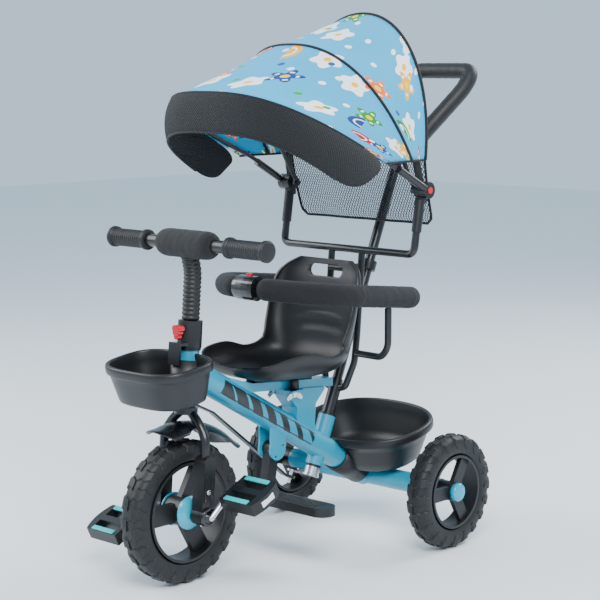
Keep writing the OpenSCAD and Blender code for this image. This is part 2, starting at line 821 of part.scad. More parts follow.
// A flat bar bent in the plane of its length, drawn from its middle line
function strip(p, t) =
    let (
        last = len(p) - 1,
        across = [for (i = [0:last]) let (v = unit(p[min(i + 1, last)] - p[max(i - 1, 0)])) [-v[1], v[0]]]
    )
    concat(
        [for (i = [0:last]) p[i] + across[i] * t / 2],
        [for (i = [last:-1:0]) p[i] - across[i] * t / 2]
    );
function side_view(p) = [p[1], p[2]];
link_t = 4;
link_w = 12;
eye_t = 5;
link_front_d = crown_h + crown_t + arm_plate_t + gap;
link_rear_d = -68;
open_pivot = 2.5;
link_bend = [110, 275];
link_front = steering_point(0, link_y, link_front_d + eye_t / 2);
link_rear = handle_point(0, link_y, link_rear_d);
link_path = [
    side_view(link_front), side_view(link_front + [0, 36 * cos(steer_lean), -36 * sin(steer_lean)]),
    link_bend, side_view(link_rear - [0, 18 * cos(handle_lean), -18 * sin(handle_lean)]),
    side_view(link_rear)
];
module steering_link() color(steel) difference() {
    union() {
        side_plate(strip(link_path, link_t), link_x - link_w / 2, link_x + link_w / 2);
        steering() translate([link_x, link_y, link_front_d]) cylinder(h = eye_t, r = eye_r);
        handle_axis() translate([link_x, link_y, link_rear_d - eye_t / 2]) cylinder(h = eye_t, r = eye_r);
    }
    steering() translate([link_x, link_y, link_front_d - 9]) cylinder(h = 20, r = link_pin_r + run);
    handle_axis() translate([link_x, link_y, link_rear_d - 12])
        cylinder(h = 24, r = link_pin_r + open_pivot);
}

// ---- Footrest ----

footrest_half = 160;
footrest_deep = 46;
footrest_y = 208;
footrest_top = 118;
footrest_t = 16;
footrest_neck = [
    [lug_y - 11, lug_z], [lug_y + 11, lug_z], [footrest_y + 12, footrest_top - 2],
    [footrest_y - 12, footrest_top - 2]
];
module footrest() color(black) difference() {
    union() {
        placed() translate([0, lug_y, lug_z]) along_x(-lug_x + gap, lug_x - gap, 13);
        side_plate(footrest_neck, -9, 9);
        placed() hull() for (s = [-1, 1])
            translate([s * (footrest_half - footrest_deep / 2), footrest_y, footrest_top - footrest_t])
                cylinder(h = footrest_t, r = footrest_deep / 2, $fn = round_sides);
    }
    placed() translate([0, lug_y, lug_z]) along_x(-overrun, overrun, lug_pin_r + run);
}

// ---- Brackets behind the seat ----

brace_x = 37;
brace_d = 13;
bracket_y = 427;
bracket_z = 543;
bracket_half = 160;
brace_knee = [brace_x, 407, 335];
brace_low = [brace_x, 414, 385];
brace_high = [brace_x, bracket_y, bracket_z];
brace_path = rounded_path([
    handle_point(4, 0, 112), handle_point(24, 0, 117), brace_knee, brace_low, brace_high
], 7);
module brace_rods() {
    both_sides() placed() {
        rod(brace_low, brace_high, brace_d);
        rod(brace_knee, brace_low, brace_d);
    }
}
module bracket_bar() {
    placed() translate([0, bracket_y, bracket_z])
        along_x(-bracket_half + 16, bracket_half - 16, canopy_tube_d / 2);
}
module bracket_legs() color(black) difference() {
    both_sides() placed() sweep(brace_path, brace_d, [0, 1, 0]);
    handle_axis() cylinder(h = overrun, r = post_d / 2);
    bracket_bar();
}

guard_x = ring_r - 8;
guard_post_y = 395;
guard_post_top = 446;
guard_pin_r = 5;
guard_pin_top = guard_post_top + 30;
module guard_posts() color(black) difference() {
    both_sides() placed() {
        sweep(rounded_path([[brace_x, 410, 352], [guard_x - 18, 398, 354], [guard_x, guard_post_y, 374],
            [guard_x, guard_post_y, 402]], 12), brace_d, [0, 1, 0]);
        translate([guard_x, guard_post_y, 400]) cylinder(h = guard_post_top - 400, d = brace_d);
        translate([guard_x, guard_post_y, 400]) cylinder(h = guard_pin_top - 400, r = guard_pin_r);
    }
    brace_rods();
}

guide_d = 354;
module handle_guide() color(black) difference() {
    union() {
        handle_axis() translate([0, 0, guide_d - 9]) cylinder(h = 18, r = 15);
        placed() translate([-5, 420, 500]) cube([10, 62, 12]);
        placed() translate([0, 420, 506]) along_x(-brace_x, brace_x, 6);
    }
    handle_axis() cylinder(h = overrun * 2, r = handle_d / 2 + run);
    brace_rods();
}

// ---- Guard ring: two padded halves that open outwards, joined by a clasp in front ----

guard_y = 301;
guard_z = 478.4;
guard_tilt = 6.56;
guard_straight = 145;
clasp_from = -8.5;
clasp_to = 9;
clasp_d = pad_d + 4;
clasp_pocket_r = 12;
tongue_r = 7;
module guard_frame() {
    placed() translate([0, guard_y, guard_z]) rotate([-guard_tilt, 0, 0]) children();
}
// A point on the ring's middle line, at an angle from the front, positive towards the left hand
function ring_point(a) = [ring_r * sin(a), -ring_r * cos(a), 0];
ring_sides = 20;
ring_step = 7.5;
end_steps = 5;
// One half of the ring, from an angle near the front round to its rounded end at the back
function half_ring(from) = concat(
    [ring_point(from)],
    [for (a = [ceil((from + 1) / ring_step) * ring_step:ring_step:90]) ring_point(a)],
    [[ring_r, guard_straight / 2, 0]],
    [for (k = [0:end_steps]) [ring_r, guard_straight + pad_d / 2 * sin(80 * k / end_steps), 0]]
);
function half_ring_d(count) = concat(
    [for (i = [0:count - end_steps - 2]) pad_d],
    [for (k = [0:end_steps]) pad_d * cos(80 * k / end_steps)]
);
// Cuts the ring off square at an angle from the front
module cut_before(a) {
    rotate([0, 0, a]) translate([-60, -ring_r - 60, -60]) cube([60, 120, 120]);
}
module ring_half(from) {
    path = half_ring(from - 2);
    difference() {
        sweep(path, half_ring_d(len(path)), [0, 0, 1], ring_sides);
        cut_before(from);
    }
}
module guard_bore() {
    both_sides() placed() translate([guard_x, guard_post_y, 0])
        cylinder(h = guard_pin_top + 2, r = guard_pin_r + run);
}
split_gap = 0.3;
module guard_pad_left() color(black) difference() {
    guard_frame() ring_half(clasp_to);
    guard_bore();
}
module guard_pad_right() color(black) difference() {
    guard_frame() {
        mirror([1, 0, 0]) ring_half(-clasp_from + split_gap);
        rotate([0, 0, clasp_from]) translate([-4, -ring_r, 0]) along_x(0, 9, tongue_r);
    }
    guard_bore();
}

button_r = 6;
button_travel = 3;
module guard_clasp() color(black) difference() {
    guard_frame() sweep(
        [for (k = [0:4]) ring_point(mix(clasp_from - 2, clasp_to + 2, k / 4))], clasp_d, [0, 0, 1], 32
    );
    guard_frame() {
        cut_before(clasp_from);
        mirror([1, 0, 0]) cut_before(-clasp_to);
    }
    guard_frame() rotate([0, 0, clasp_from]) translate([-3, -ring_r, 0]) along_x(0, 12, clasp_pocket_r);
    guard_frame() translate([0, -ring_r, clasp_d / 2 - 7]) cylinder(h = 20, r = button_r + run);
}
module clasp_button() color(red) guard_frame() translate([0, -ring_r, clasp_d / 2 - 3]) {
    cylinder(h = 7, r = button_r);
}

// ---- Canopy ----

hinge_y = 445;
fixed_out = canopy_half + 1;
fixed_in = canopy_half - 13;
hinge_mid = (fixed_in + fixed_out) / 2;
move_in = fixed_out + gap;
move_out = move_in + 12.6;
hinge_r = 15;
hinge_pin_r = 4;
mid_x = canopy_half - 21;
upright_low = [bracket_half, bracket_y, bracket_z];
upright_high = [hinge_mid, hinge_y, hinge_h];
rear_arm_end = [hinge_mid - 3, 433, hinge_h + 54];
sleeve_d = canopy_tube_d + 4;
module upright_rods() {
    both_sides() placed() rod(mix(upright_low, upright_high, 0.2), mix(upright_low, upright_high, 0.84),
        canopy_tube_d);
}
module canopy_bracket() color(black) {
    bracket_bar();
    upright_rods();
    both_sides() placed() sweep(
        rounded_path([upright_low - [17, 0, 0], upright_low, mix(upright_low, upright_high, 0.21)], 15),
        canopy_tube_d * sleeving, [0, 1, 0]
    );
}
module at_hinge() {
    placed() translate([0, hinge_y, hinge_h]) children();
}
module canopy_hinges() color(black) difference() {
    both_sides() {
        at_hinge() along_x(fixed_in, fixed_out, hinge_r);
        at_hinge() along_x(mid_x - 5, move_in + 4, hinge_pin_r);
        at_hinge() translate([fixed_in, -8, -24]) cube([fixed_out - fixed_in, 16, 16]);
        placed() rod(mix(upright_low, upright_high, 0.35), mix(upright_low, upright_high, 0.85), sleeve_d);
        placed() rod([hinge_mid - 1, hinge_y, hinge_h + 8], rear_arm_end, 14);
    }
    upright_rods();
    both_sides() placed() rod(mix([hinge_mid, hinge_y, hinge_h], rear_arm_end, 0.6),
        rear_arm_end + [-0.4, -2.4, 10], 8);
}

// A point on a hoop: a superellipse of half width w between a base and an apex, both [y, z]
function hoop_point(w, n, base, apex, t) =
    let (up = pow(abs(sin(t)), 2 / n))
    [
        w * sign(cos(t)) * pow(abs(cos(t)), 2 / n), base[0] + (apex[0] - base[0]) * up,
        base[1] + (apex[1] - base[1]) * up
    ];
function hoop_side(base, apex) = let (v = unit(apex - base)) [0, -v[1], v[0]];
hoop_step = 7.5;
hoop_d = 8;
rear_base = [rear_arm_end[1], rear_arm_end[2]];
rear_apex = [464, hinge_h + 303];
rear_half = rear_arm_end[0];
rear_path = concat(
    [mix([hinge_mid, hinge_y, hinge_h], rear_arm_end, 0.61)],
    [for (t = [0:hoop_step:180]) hoop_point(rear_half, 2, rear_base, rear_apex, t)],
    [mix([-hinge_mid, hinge_y, hinge_h], [-rear_arm_end[0], rear_arm_end[1], rear_arm_end[2]], 0.61)]
);
module canopy_rear_hoop() color(grey) placed() {
    sweep(rear_path, hoop_d, hoop_side(rear_base, rear_apex), 12);
}

mid_half = 156;
mid_base = [425, hinge_h + 54];
mid_apex = [274, hinge_h + 245];
mid_path = concat(
    [[mid_x, hinge_y - 2, hinge_h + 3.5]],
    [for (t = [22.5:hoop_step:157.5]) hoop_point(mid_half, 2.4, mid_base, mid_apex, t)],
    [[-mid_x, hinge_y - 2, hinge_h + 3.5]]
);
module canopy_mid_hoop() color(grey) difference() {
    union() {
        placed() sweep(mid_path, hoop_d, hoop_side(mid_base, mid_apex), 12);
        both_sides() at_hinge() along_x(mid_x - 3, mid_x + 3, hinge_pin_r + 4);
    }
    at_hinge() along_x(-overrun, overrun, hinge_pin_r + run);
}

front_half = 170;
front_base = [343, hinge_h + 53];
front_apex = [75, hinge_h + 163];
front_sleeve_x = move_in + 7.2;
front_sleeve_end = [front_sleeve_x - 2, 366, hinge_h + 41];
front_path = concat(
    [[front_half, 372, hinge_h + 38]],
    [for (t = [0:hoop_step:180]) hoop_point(front_half, 2.8, front_base, front_apex, t)],
    [[-front_half, 372, hinge_h + 38]]
);
module canopy_front_arms() color(black) difference() {
    union() {
        both_sides() {
            at_hinge() along_x(move_in, move_out, hinge_r);
            placed() rod([front_sleeve_x, hinge_y - 9, hinge_h + 4], front_sleeve_end, 14);
        }
        placed() sweep(front_path, hoop_d, hoop_side(front_base, front_apex), 12);
    }
    both_sides() {
        at_hinge() along_x(move_in - 1, move_in + 4 + gap, hinge_pin_r + run);
        at_hinge() along_x(move_out - 6, move_out + 1, button_r + run);
    }
}

module canopy_button() {
    at_hinge() along_x(move_out - 6 + button_travel + gap, move_out + 2, button_r);
}
module canopy_button_left() color(red) canopy_button();
module canopy_button_right() color(red) mirror([1, 0, 0]) canopy_button();

// A closed sheet: each edge is [half width, exponent, base, apex], and the sheet runs from edge
// to edge with the cloth's thickness laid on the inside
cloth_middle = [0, 330, 700];
function sheet_ring(edges, t) =
    let (outer = [for (e = edges) hoop_point(e[0], e[1], e[2], e[3], t)], last = len(outer) - 1)
    concat(outer, [for (i = [last:-1:0]) outer[i] + unit(cloth_middle - outer[i]) * cloth_t]);
module sheet(edges) {
    placed() loft([for (t = [0:hoop_step:180]) sheet_ring(edges, t)]);
}
cloth_front = [180, 2.8, [326, hinge_h + 53], [68, hinge_h + 176]];
cloth_mid = [176, 2.4, [400, hinge_h + 54], [272, hinge_h + 257]];
cloth_rear = [174, 2.1, [439, hinge_h + 54], [468, hinge_h + 315]];
module canopy_cloth() color("white") sheet([cloth_front, cloth_mid, cloth_rear]);

visor_upper = [180, 2.8, [316, hinge_h + 45], [59, hinge_h + 172]];
visor_lower = [167, 2.8, [262, hinge_h + 21], [65, hinge_h + 120]];
module canopy_visor() color(soft_black) sheet([visor_upper, visor_lower]);

// The rear curtain, in rows of [y, height above the hinge, half width]
curtain_t = 2;
curtain_low = [[482, -64, 160], [467, 0, 160], [450, 54, 164]];
curtain_rows = concat(
    curtain_low,
    [for (k = [0.15:0.15:0.9]) [mix(450, 472, k), mix(54, 312, k), 164 * sqrt(1 - k * k)]],
    [[472, 309, 20]]
);
module rear_curtain() color(black) placed() loft([
    for (r = curtain_rows)
        let (z = hinge_h + r[1])
        [[-r[2], r[0], z], [r[2], r[0], z], [r[2], r[0] + curtain_t, z], [-r[2], r[0] + curtain_t, z]]
]);

head_tube();
main_tube();
rear_axle_tube();
handle_socket();
seat_column();
seat_beam();
footrest_lugs();
head_bushes();
socket_rings();
rear_axle();
support_post();
bracket_legs();
guard_posts();
handle_guide();
canopy_bracket();
seat_shell();
seat_wing_nuts();
rear_basket();
canopy_hinges();
canopy_rear_hoop();
canopy_cloth();
rear_curtain();
steerer();
fork_legs();
fork_cover_left();
fork_cover_right();
fender();
clamp_collar();
clamp_knob();
front_basket();
basket_bracket();
handlebar();
stem_bellows();
handlebar_pad();
grip_left();
grip_right();
front_tyre();
front_rim();
front_hub_domes();
crank();
pedal_left();
pedal_right();
rear_tyre_left();
rear_tyre_right();
rear_rim_left();
rear_rim_right();
footrest();
push_handle();
push_grip();
steering_arm();
steering_link();
guard_pad_left();
guard_pad_right();
guard_clasp();
clasp_button();
canopy_front_arms();
canopy_visor();
canopy_mid_hoop();
canopy_button_left();
canopy_button_right();
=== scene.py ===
from math import ceil, copysign, cos, pi, radians, sin, sqrt

import bmesh
import bpy
from mathutils import Matrix, Vector


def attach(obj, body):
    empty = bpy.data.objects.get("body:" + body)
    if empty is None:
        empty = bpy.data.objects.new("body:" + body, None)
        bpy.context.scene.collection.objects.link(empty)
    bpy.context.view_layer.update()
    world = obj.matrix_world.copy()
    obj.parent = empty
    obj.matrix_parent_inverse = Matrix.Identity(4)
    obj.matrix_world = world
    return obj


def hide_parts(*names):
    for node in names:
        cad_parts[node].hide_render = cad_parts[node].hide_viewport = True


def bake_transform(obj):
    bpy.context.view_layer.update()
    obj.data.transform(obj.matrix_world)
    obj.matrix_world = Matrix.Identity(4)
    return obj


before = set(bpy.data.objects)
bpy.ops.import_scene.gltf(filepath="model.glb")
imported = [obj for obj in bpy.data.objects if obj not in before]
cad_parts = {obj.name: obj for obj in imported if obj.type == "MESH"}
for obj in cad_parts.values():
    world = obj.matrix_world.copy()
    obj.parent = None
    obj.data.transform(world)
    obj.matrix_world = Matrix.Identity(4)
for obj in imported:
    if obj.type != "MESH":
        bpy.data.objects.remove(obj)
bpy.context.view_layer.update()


# ---- Studio ----
# A camera on a stand, three soft boxes and a pale sheet of card as the floor. None of them
# belongs to the tricycle.
lens = bpy.data.cameras.new("camera")
lens.lens = 102.4
camera = bpy.data.objects.new("camera", lens)
camera.location = (2.088, -2.248, 0.882)
camera.rotation_euler = (radians(82.145), 0, radians(42.919))
bpy.context.scene.collection.objects.link(camera)
bpy.context.scene.camera = camera


class Wire:
    """A socket of a material, which adds, multiplies and compares as a number does."""

    def __init__(self, finish, socket):
        self.finish, self.socket = finish, socket

    def __add__(self, other):
        return self.finish.math("ADD", self, other)

    def __sub__(self, other):
        return self.finish.math("SUBTRACT", self, other)

    def __rsub__(self, other):
        return self.finish.math("SUBTRACT", other, self)

    def __mul__(self, other):
        return self.finish.math("MULTIPLY", self, other)

    def __lt__(self, other):
        return self.finish.math("LESS_THAN", self, other)

    def __gt__(self, other):
        return self.finish.math("GREATER_THAN", self, other)

    def __abs__(self):
        return self.finish.math("ABSOLUTE", self, 0)

    __radd__, __rmul__ = __add__, __mul__


class Finish:
    """One material: its shader, and the nodes that vary it over the surface."""

    def __init__(self, name, colour, roughness, metallic=0.0, coat=0.0, sheen=0.0, specular=0.5):
        self.material = bpy.data.materials.new(name)
        self.material.use_nodes = True
        self.tree = self.material.node_tree
        self.shader = self.tree.nodes["Principled BSDF"]
        self.colour, self.rough = (*colour, 1), roughness
        self.put("Base Color", self.colour)
        self.put("Roughness", roughness)
        self.put("Metallic", metallic)
        self.put("Coat Weight", coat)
        self.put("Coat Roughness", 0.12)
        self.put("Sheen Weight", sheen)
        self.put("Specular IOR Level", specular)
        self.heights = []

    def put(self, socket, value):
        if isinstance(value, Wire):
            self.tree.links.new(value.socket, self.shader.inputs[socket])
        else:
            self.shader.inputs[socket].default_value = value

    def node(self, kind, settings, values, out=0):
        """Adds a node, and gives back one of its outputs or, where out is a list, several."""
        node = self.tree.nodes.new(kind)
        for key, value in settings.items():
            if key == "stops":
                node.color_ramp.interpolation = "CONSTANT"
                while len(node.color_ramp.elements) < len(value):
                    node.color_ramp.elements.new(0.5)
                for stop, (place, colour) in zip(node.color_ramp.elements, value):
                    stop.position, stop.color = place, (*colour, 1)
            else:
                setattr(node, key, value)
        for key, value in values.items():
            if isinstance(value, Wire):
                self.tree.links.new(value.socket, node.inputs[key])
            else:
                node.inputs[key].default_value = value
        if isinstance(out, list):
            return [Wire(self, node.outputs[name]) for name in out]
        return Wire(self, node.outputs[out])

    def math(self, operation, a, b):
        return self.node("ShaderNodeMath", {"operation": operation}, {0: a, 1: b})

    def place(self, source="Object"):
        return self.node("ShaderNodeTexCoord", {}, {}, source)

    def split(self, vector):
        return [self.node("ShaderNodeSeparateXYZ", {}, {0: vector}, k) for k in range(3)]

    def noise(self, scale, detail=2.0):
        values = {"Vector": self.place(), "Scale": scale, "Detail": detail}
        return self.node("ShaderNodeTexNoise", {}, values)

    def blend(self, mask, a, b):
        return self.node("ShaderNodeMix", {"data_type": "RGBA"}, {0: mask, 6: a, 7: b}, 2)

    def mottle(self, scale, amount, rough_amount):
        """Slight changes of shade and of gloss over the surface."""
        spots = self.noise(scale)
        shade = [c * (1 - amount) for c in self.colour[:3]]
        tint = [min(1, c * (1 + amount) + 0.004) for c in self.colour[:3]]
        self.put("Base Color", self.blend(spots, (*shade, 1), (*tint, 1)))
        self.put("Roughness", self.rough + (spots - 0.5) * rough_amount)
        return self

    def grain(self, height, strength, distance):
        """Lays a relief on the surface."""
        values = {"Height": height, "Strength": strength, "Distance": distance}
        if self.heights:
            values["Normal"] = self.heights[-1]
        self.heights.append(self.node("ShaderNodeBump", {}, values))
        self.put("Normal", self.heights[-1])
        return self

    def dress(self, *names):
        """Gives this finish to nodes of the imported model."""
        for name in names:
            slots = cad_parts[name].data.materials
            slots.clear()
            slots.append(self.material)


floor_card = Finish("floor_card", (0.84, 0.87, 0.89), 0.6).mottle(3, 0.01, 0.05)
floor_mesh = bpy.data.meshes.new("floor")
floor_mesh.from_pydata([(-8, -8, 0), (8, -8, 0), (8, 8, 0), (-8, 8, 0)], [], [(0, 1, 2, 3)])
floor_mesh.materials.append(floor_card.material)
floor = bpy.data.objects.new("floor", floor_mesh)
bpy.context.scene.collection.objects.link(floor)

for number, (place, width, power) in enumerate([
    ((1.9, -1.6, 2.4), 1.6, 125), ((-2.2, -1.4, 1.9), 1.8, 70), ((0.6, 2.6, 2.3), 1.6, 80),
]):
    box_light = bpy.data.lights.new("soft_box_%d" % number, "AREA")
    box_light.energy, box_light.size = power, width
    holder = bpy.data.objects.new(box_light.name, box_light)
    holder.location = place
    holder.rotation_euler = (Vector((0, 0, 0.45)) - Vector(place)).to_track_quat("-Z", "Y").to_euler()
    bpy.context.scene.collection.objects.link(holder)
world = bpy.data.worlds.new("room")
world.use_nodes = True
world.node_tree.nodes["Background"].inputs["Color"].default_value = (0.62, 0.82, 1.0, 1)
world.node_tree.nodes["Background"].inputs["Strength"].default_value = 1.0
bpy.context.scene.world = world


# ---- Painted frame ----
# The main tube, cross tube, seat beam, head tube and brackets are steel, welded together and
# powder coated in one bright cyan. A black sticker of slanted bars lies along each side.
cyan = (0.0, 0.28, 0.42)
paint = Finish("cyan_powder_coat", cyan, 0.32, coat=0.3).mottle(14, 0.04, 0.06)
paint.grain(paint.noise(900), 0.12, 0.0004)
paint.dress(
    "head_tube", "rear_axle_tube", "handle_socket", "seat_column", "seat_beam", "footrest_lugs"
)

front_tube_end, rear_tube_end = Vector((0, -0.281, 0.367)), Vector((0, 0.181, 0.106))
along = (rear_tube_end - front_tube_end).normalized()
striped = Finish("cyan_with_bars", cyan, 0.32, coat=0.3)
_, y, z = striped.split(striped.place())
length = (y - front_tube_end.y) * along.y + (z - front_tube_end.z) * along.z
rise = (z - front_tube_end.z) * along.y - (y - front_tube_end.y) * along.z
slant = length + rise * 1.1
band = (abs(rise) < 0.0125) * (length > 0.07) * (length < 0.335)
bars = striped.math("PINGPONG", slant - 0.06, 0.021) > (length - 0.05) * 0.052
rails = (abs(rise) > 0.0095) * (abs(rise) < 0.0115)
sticker = striped.math("MINIMUM", band * striped.math("MAXIMUM", bars, rails), 1.0)
shade = striped.noise(14)
coat_colour = striped.blend(shade, (0.0, 0.26, 0.39, 1), (0.0, 0.31, 0.46, 1))
striped.put("Base Color", striped.blend(sticker, coat_colour, (0.012, 0.012, 0.014, 1)))
striped.put("Roughness", 0.32 + sticker * 0.12 + (shade - 0.5) * 0.06)
striped.grain(striped.noise(900), 0.12, 0.0004)
striped.dress("main_tube")

tube_paint = Finish("black_powder_coat", (0.007, 0.007, 0.008), 0.32, coat=0.2, specular=0.4)
tube_paint.mottle(20, 0.2, 0.1)
tube_paint.grain(tube_paint.noise(1100), 0.2, 0.0004)
tube_paint.dress(
    "support_post", "bracket_legs", "guard_posts", "canopy_bracket", "steerer", "fork_legs",
    "basket_bracket", "handlebar", "push_handle", "canopy_front_arms", "canopy_mid_hoop",
    "canopy_rear_hoop"
)

moulded = Finish("moulded_black", (0.008, 0.008, 0.009), 0.4, specular=0.4).mottle(30, 0.2, 0.12)
moulded.grain(moulded.noise(1500), 0.3, 0.0003)
moulded.dress(
    "head_bushes", "socket_rings", "handle_guide", "canopy_hinges", "fork_cover_left",
    "fork_cover_right", "clamp_collar", "front_rim", "pedal_left", "pedal_right",
    "rear_rim_left", "rear_rim_right", "footrest"
)
polished = Finish("polished_black", (0.006, 0.006, 0.007), 0.2, coat=0.3).mottle(25, 0.2, 0.08)
polished.grain(polished.noise(500), 0.05, 0.0003)
polished.dress("guard_clasp")

zinc = Finish("zinc_plate", (0.66, 0.67, 0.68), 0.27, metallic=1.0).mottle(160, 0.12, 0.2)
zinc.grain(zinc.noise(1400), 0.15, 0.0002)
zinc.dress("rear_axle", "seat_wing_nuts", "steering_arm", "crank")
tube_paint.dress("steering_link")

signal_red = Finish("signal_red", (0.55, 0.0, 0.006), 0.25, coat=0.5).mottle(60, 0.08, 0.08)
signal_red.grain(signal_red.noise(900), 0.1, 0.0003)
signal_red.dress("clamp_knob", "clasp_button", "canopy_button_left", "canopy_button_right")


# ---- Tyres and wheels ----
# Each tyre is one blown ring of black foam rubber with blocks on its tread and shoulders,
# pushed over a moulded rim. Every rear hub has a small cyan cap.
MID_LENGTH = 301.25
SIDES = ((1, "left"), (-1, "right"))


def at(x, y, z):
    """Millimetres, with y counted from the front axle, to a place in the model."""
    return Vector((x, y - MID_LENGTH, z)) / 1000


def skin(name, rows, loop=True, closed_rows=False):
    """A mesh of quads over rows of points. Its UV map is in metres, along and across."""
    count, last = len(rows[0]), len(rows)
    points = [Vector(p) for row in rows for p in row]
    steps = range(last if closed_rows else last - 1)
    across = [[0.0] for _ in rows]
    for i, row in enumerate(rows):
        for j in range(count):
            across[i].append(across[i][-1] + (Vector(row[(j + 1) % count]) - Vector(row[j])).length)
    down = [0.0]
    for i in steps:
        ahead = rows[(i + 1) % last]
        stride = sum((Vector(a) - Vector(b)).length for a, b in zip(rows[i], ahead)) / count
        down.append(down[-1] + stride)
    faces, places = [], []
    for i in steps:
        k = (i + 1) % last
        for j in range(count if loop else count - 1):
            n = (j + 1) % count
            faces.append((i * count + j, i * count + n, k * count + n, k * count + j))
            places += [
                (across[i][j], down[i]), (across[i][j + 1], down[i]),
                (across[k][j + 1], down[i + 1]), (across[k][j], down[i + 1])
            ]
    if loop and not closed_rows:
        for i in (0, last - 1):
            hub = len(points)
            points.append(sum((Vector(p) for p in rows[i]), Vector()) / count)
            for j in range(count):
                faces.append((i * count + j, i * count + (j + 1) % count, hub))
                places += [(across[i][j], down[-1 if i else 0])] * 3
    mesh = bpy.data.meshes.new(name)
    mesh.from_pydata(points, [], faces)
    layer = mesh.uv_layers.new(name="metres")
    for loop_uv, place in zip(layer.data, places):
        loop_uv.uv = place
    return mesh


def piece(mesh, finish, body, replaces=(), smooth=True):
    """Stands a mesh in the scene. It rides on a body, or on none."""
    work = bmesh.new()
    work.from_mesh(mesh)
    bmesh.ops.remove_doubles(work, verts=work.verts, dist=1e-6)
    bmesh.ops.recalc_face_normals(work, faces=work.faces)
    work.to_mesh(mesh)
    work.free()
    mesh.polygons.foreach_set("use_smooth", [smooth] * len(mesh.polygons))
    mesh.materials.clear()
    mesh.materials.append(finish.material)
    made = bpy.data.objects.new(mesh.name, mesh)
    bpy.context.scene.collection.objects.link(made)
    if body:
        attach(made, body)
    if replaces:
        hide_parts(*replaces)
    return made


def baked(made):
    """The piece's modifiers are worked into its mesh."""
    bpy.context.view_layer.update()
    graph = bpy.context.evaluated_depsgraph_get()
    mesh = bpy.data.meshes.new_from_object(made.evaluated_get(graph))
    made.modifiers.clear()
    made.data = mesh
    return made


def around_axle(lug, count, axle_place, finish):
    """Geometry Nodes: a block is repeated round the X axis and the ring is moved to its axle."""
    tree = bpy.data.node_groups.new("ring_of_" + lug.name, "GeometryNodeTree")
    sockets = tree.interface
    sockets.new_socket("Block", in_out="INPUT", socket_type="NodeSocketGeometry")
    sockets.new_socket("Count", in_out="INPUT", socket_type="NodeSocketInt")
    sockets.new_socket("Axle", in_out="INPUT", socket_type="NodeSocketVector")
    sockets.new_socket("Finish", in_out="INPUT", socket_type="NodeSocketMaterial")
    sockets.new_socket("Ring", in_out="OUTPUT", socket_type="NodeSocketGeometry")
    nodes, link = tree.nodes, tree.links.new
    given, result = nodes.new("NodeGroupInput"), nodes.new("NodeGroupOutput")
    points, index = nodes.new("GeometryNodePoints"), nodes.new("GeometryNodeInputIndex")
    share, turn = nodes.new("ShaderNodeMath"), nodes.new("ShaderNodeMath")
    share.operation, turn.operation = "DIVIDE", "MULTIPLY"
    share.inputs[0].default_value = 2 * pi
    euler, copies = nodes.new("ShaderNodeCombineXYZ"), nodes.new("GeometryNodeInstanceOnPoints")
    real, shift = nodes.new("GeometryNodeRealizeInstances"), nodes.new("GeometryNodeTransform")
    coat = nodes.new("GeometryNodeSetMaterial")
    link(given.outputs["Count"], points.inputs["Count"])
    link(given.outputs["Count"], share.inputs[1])
    link(index.outputs[0], turn.inputs[0])
    link(share.outputs[0], turn.inputs[1])
    link(turn.outputs[0], euler.inputs["X"])
    link(points.outputs[0], copies.inputs["Points"])
    link(given.outputs["Block"], copies.inputs["Instance"])
    link(euler.outputs[0], copies.inputs["Rotation"])
    link(copies.outputs[0], real.inputs[0])
    link(real.outputs[0], shift.inputs["Geometry"])
    link(given.outputs["Axle"], shift.inputs["Translation"])
    link(shift.outputs[0], coat.inputs["Geometry"])
    link(given.outputs["Finish"], coat.inputs["Material"])
    link(coat.outputs[0], result.inputs[0])
    carrier = bpy.data.objects.new(lug.name, lug)
    bpy.context.scene.collection.objects.link(carrier)
    ring = carrier.modifiers.new("ring", "NODES")
    ring.node_group = tree
    names = {item.name: item.identifier for item in sockets.items_tree}
    ring[names["Count"]] = count
    ring[names["Axle"]] = axle_place
    ring[names["Finish"]] = finish.material
    mesh = baked(carrier).data
    bpy.data.objects.remove(carrier)
    return mesh


rubber = Finish("foam_rubber", (0.010, 0.010, 0.0105), 0.5, specular=0.35).mottle(45, 0.3, 0.16)
rubber.grain(rubber.noise(420, 4), 0.4, 0.0006)

LUG = 2.6  # how far a tread block stands out, in millimetres


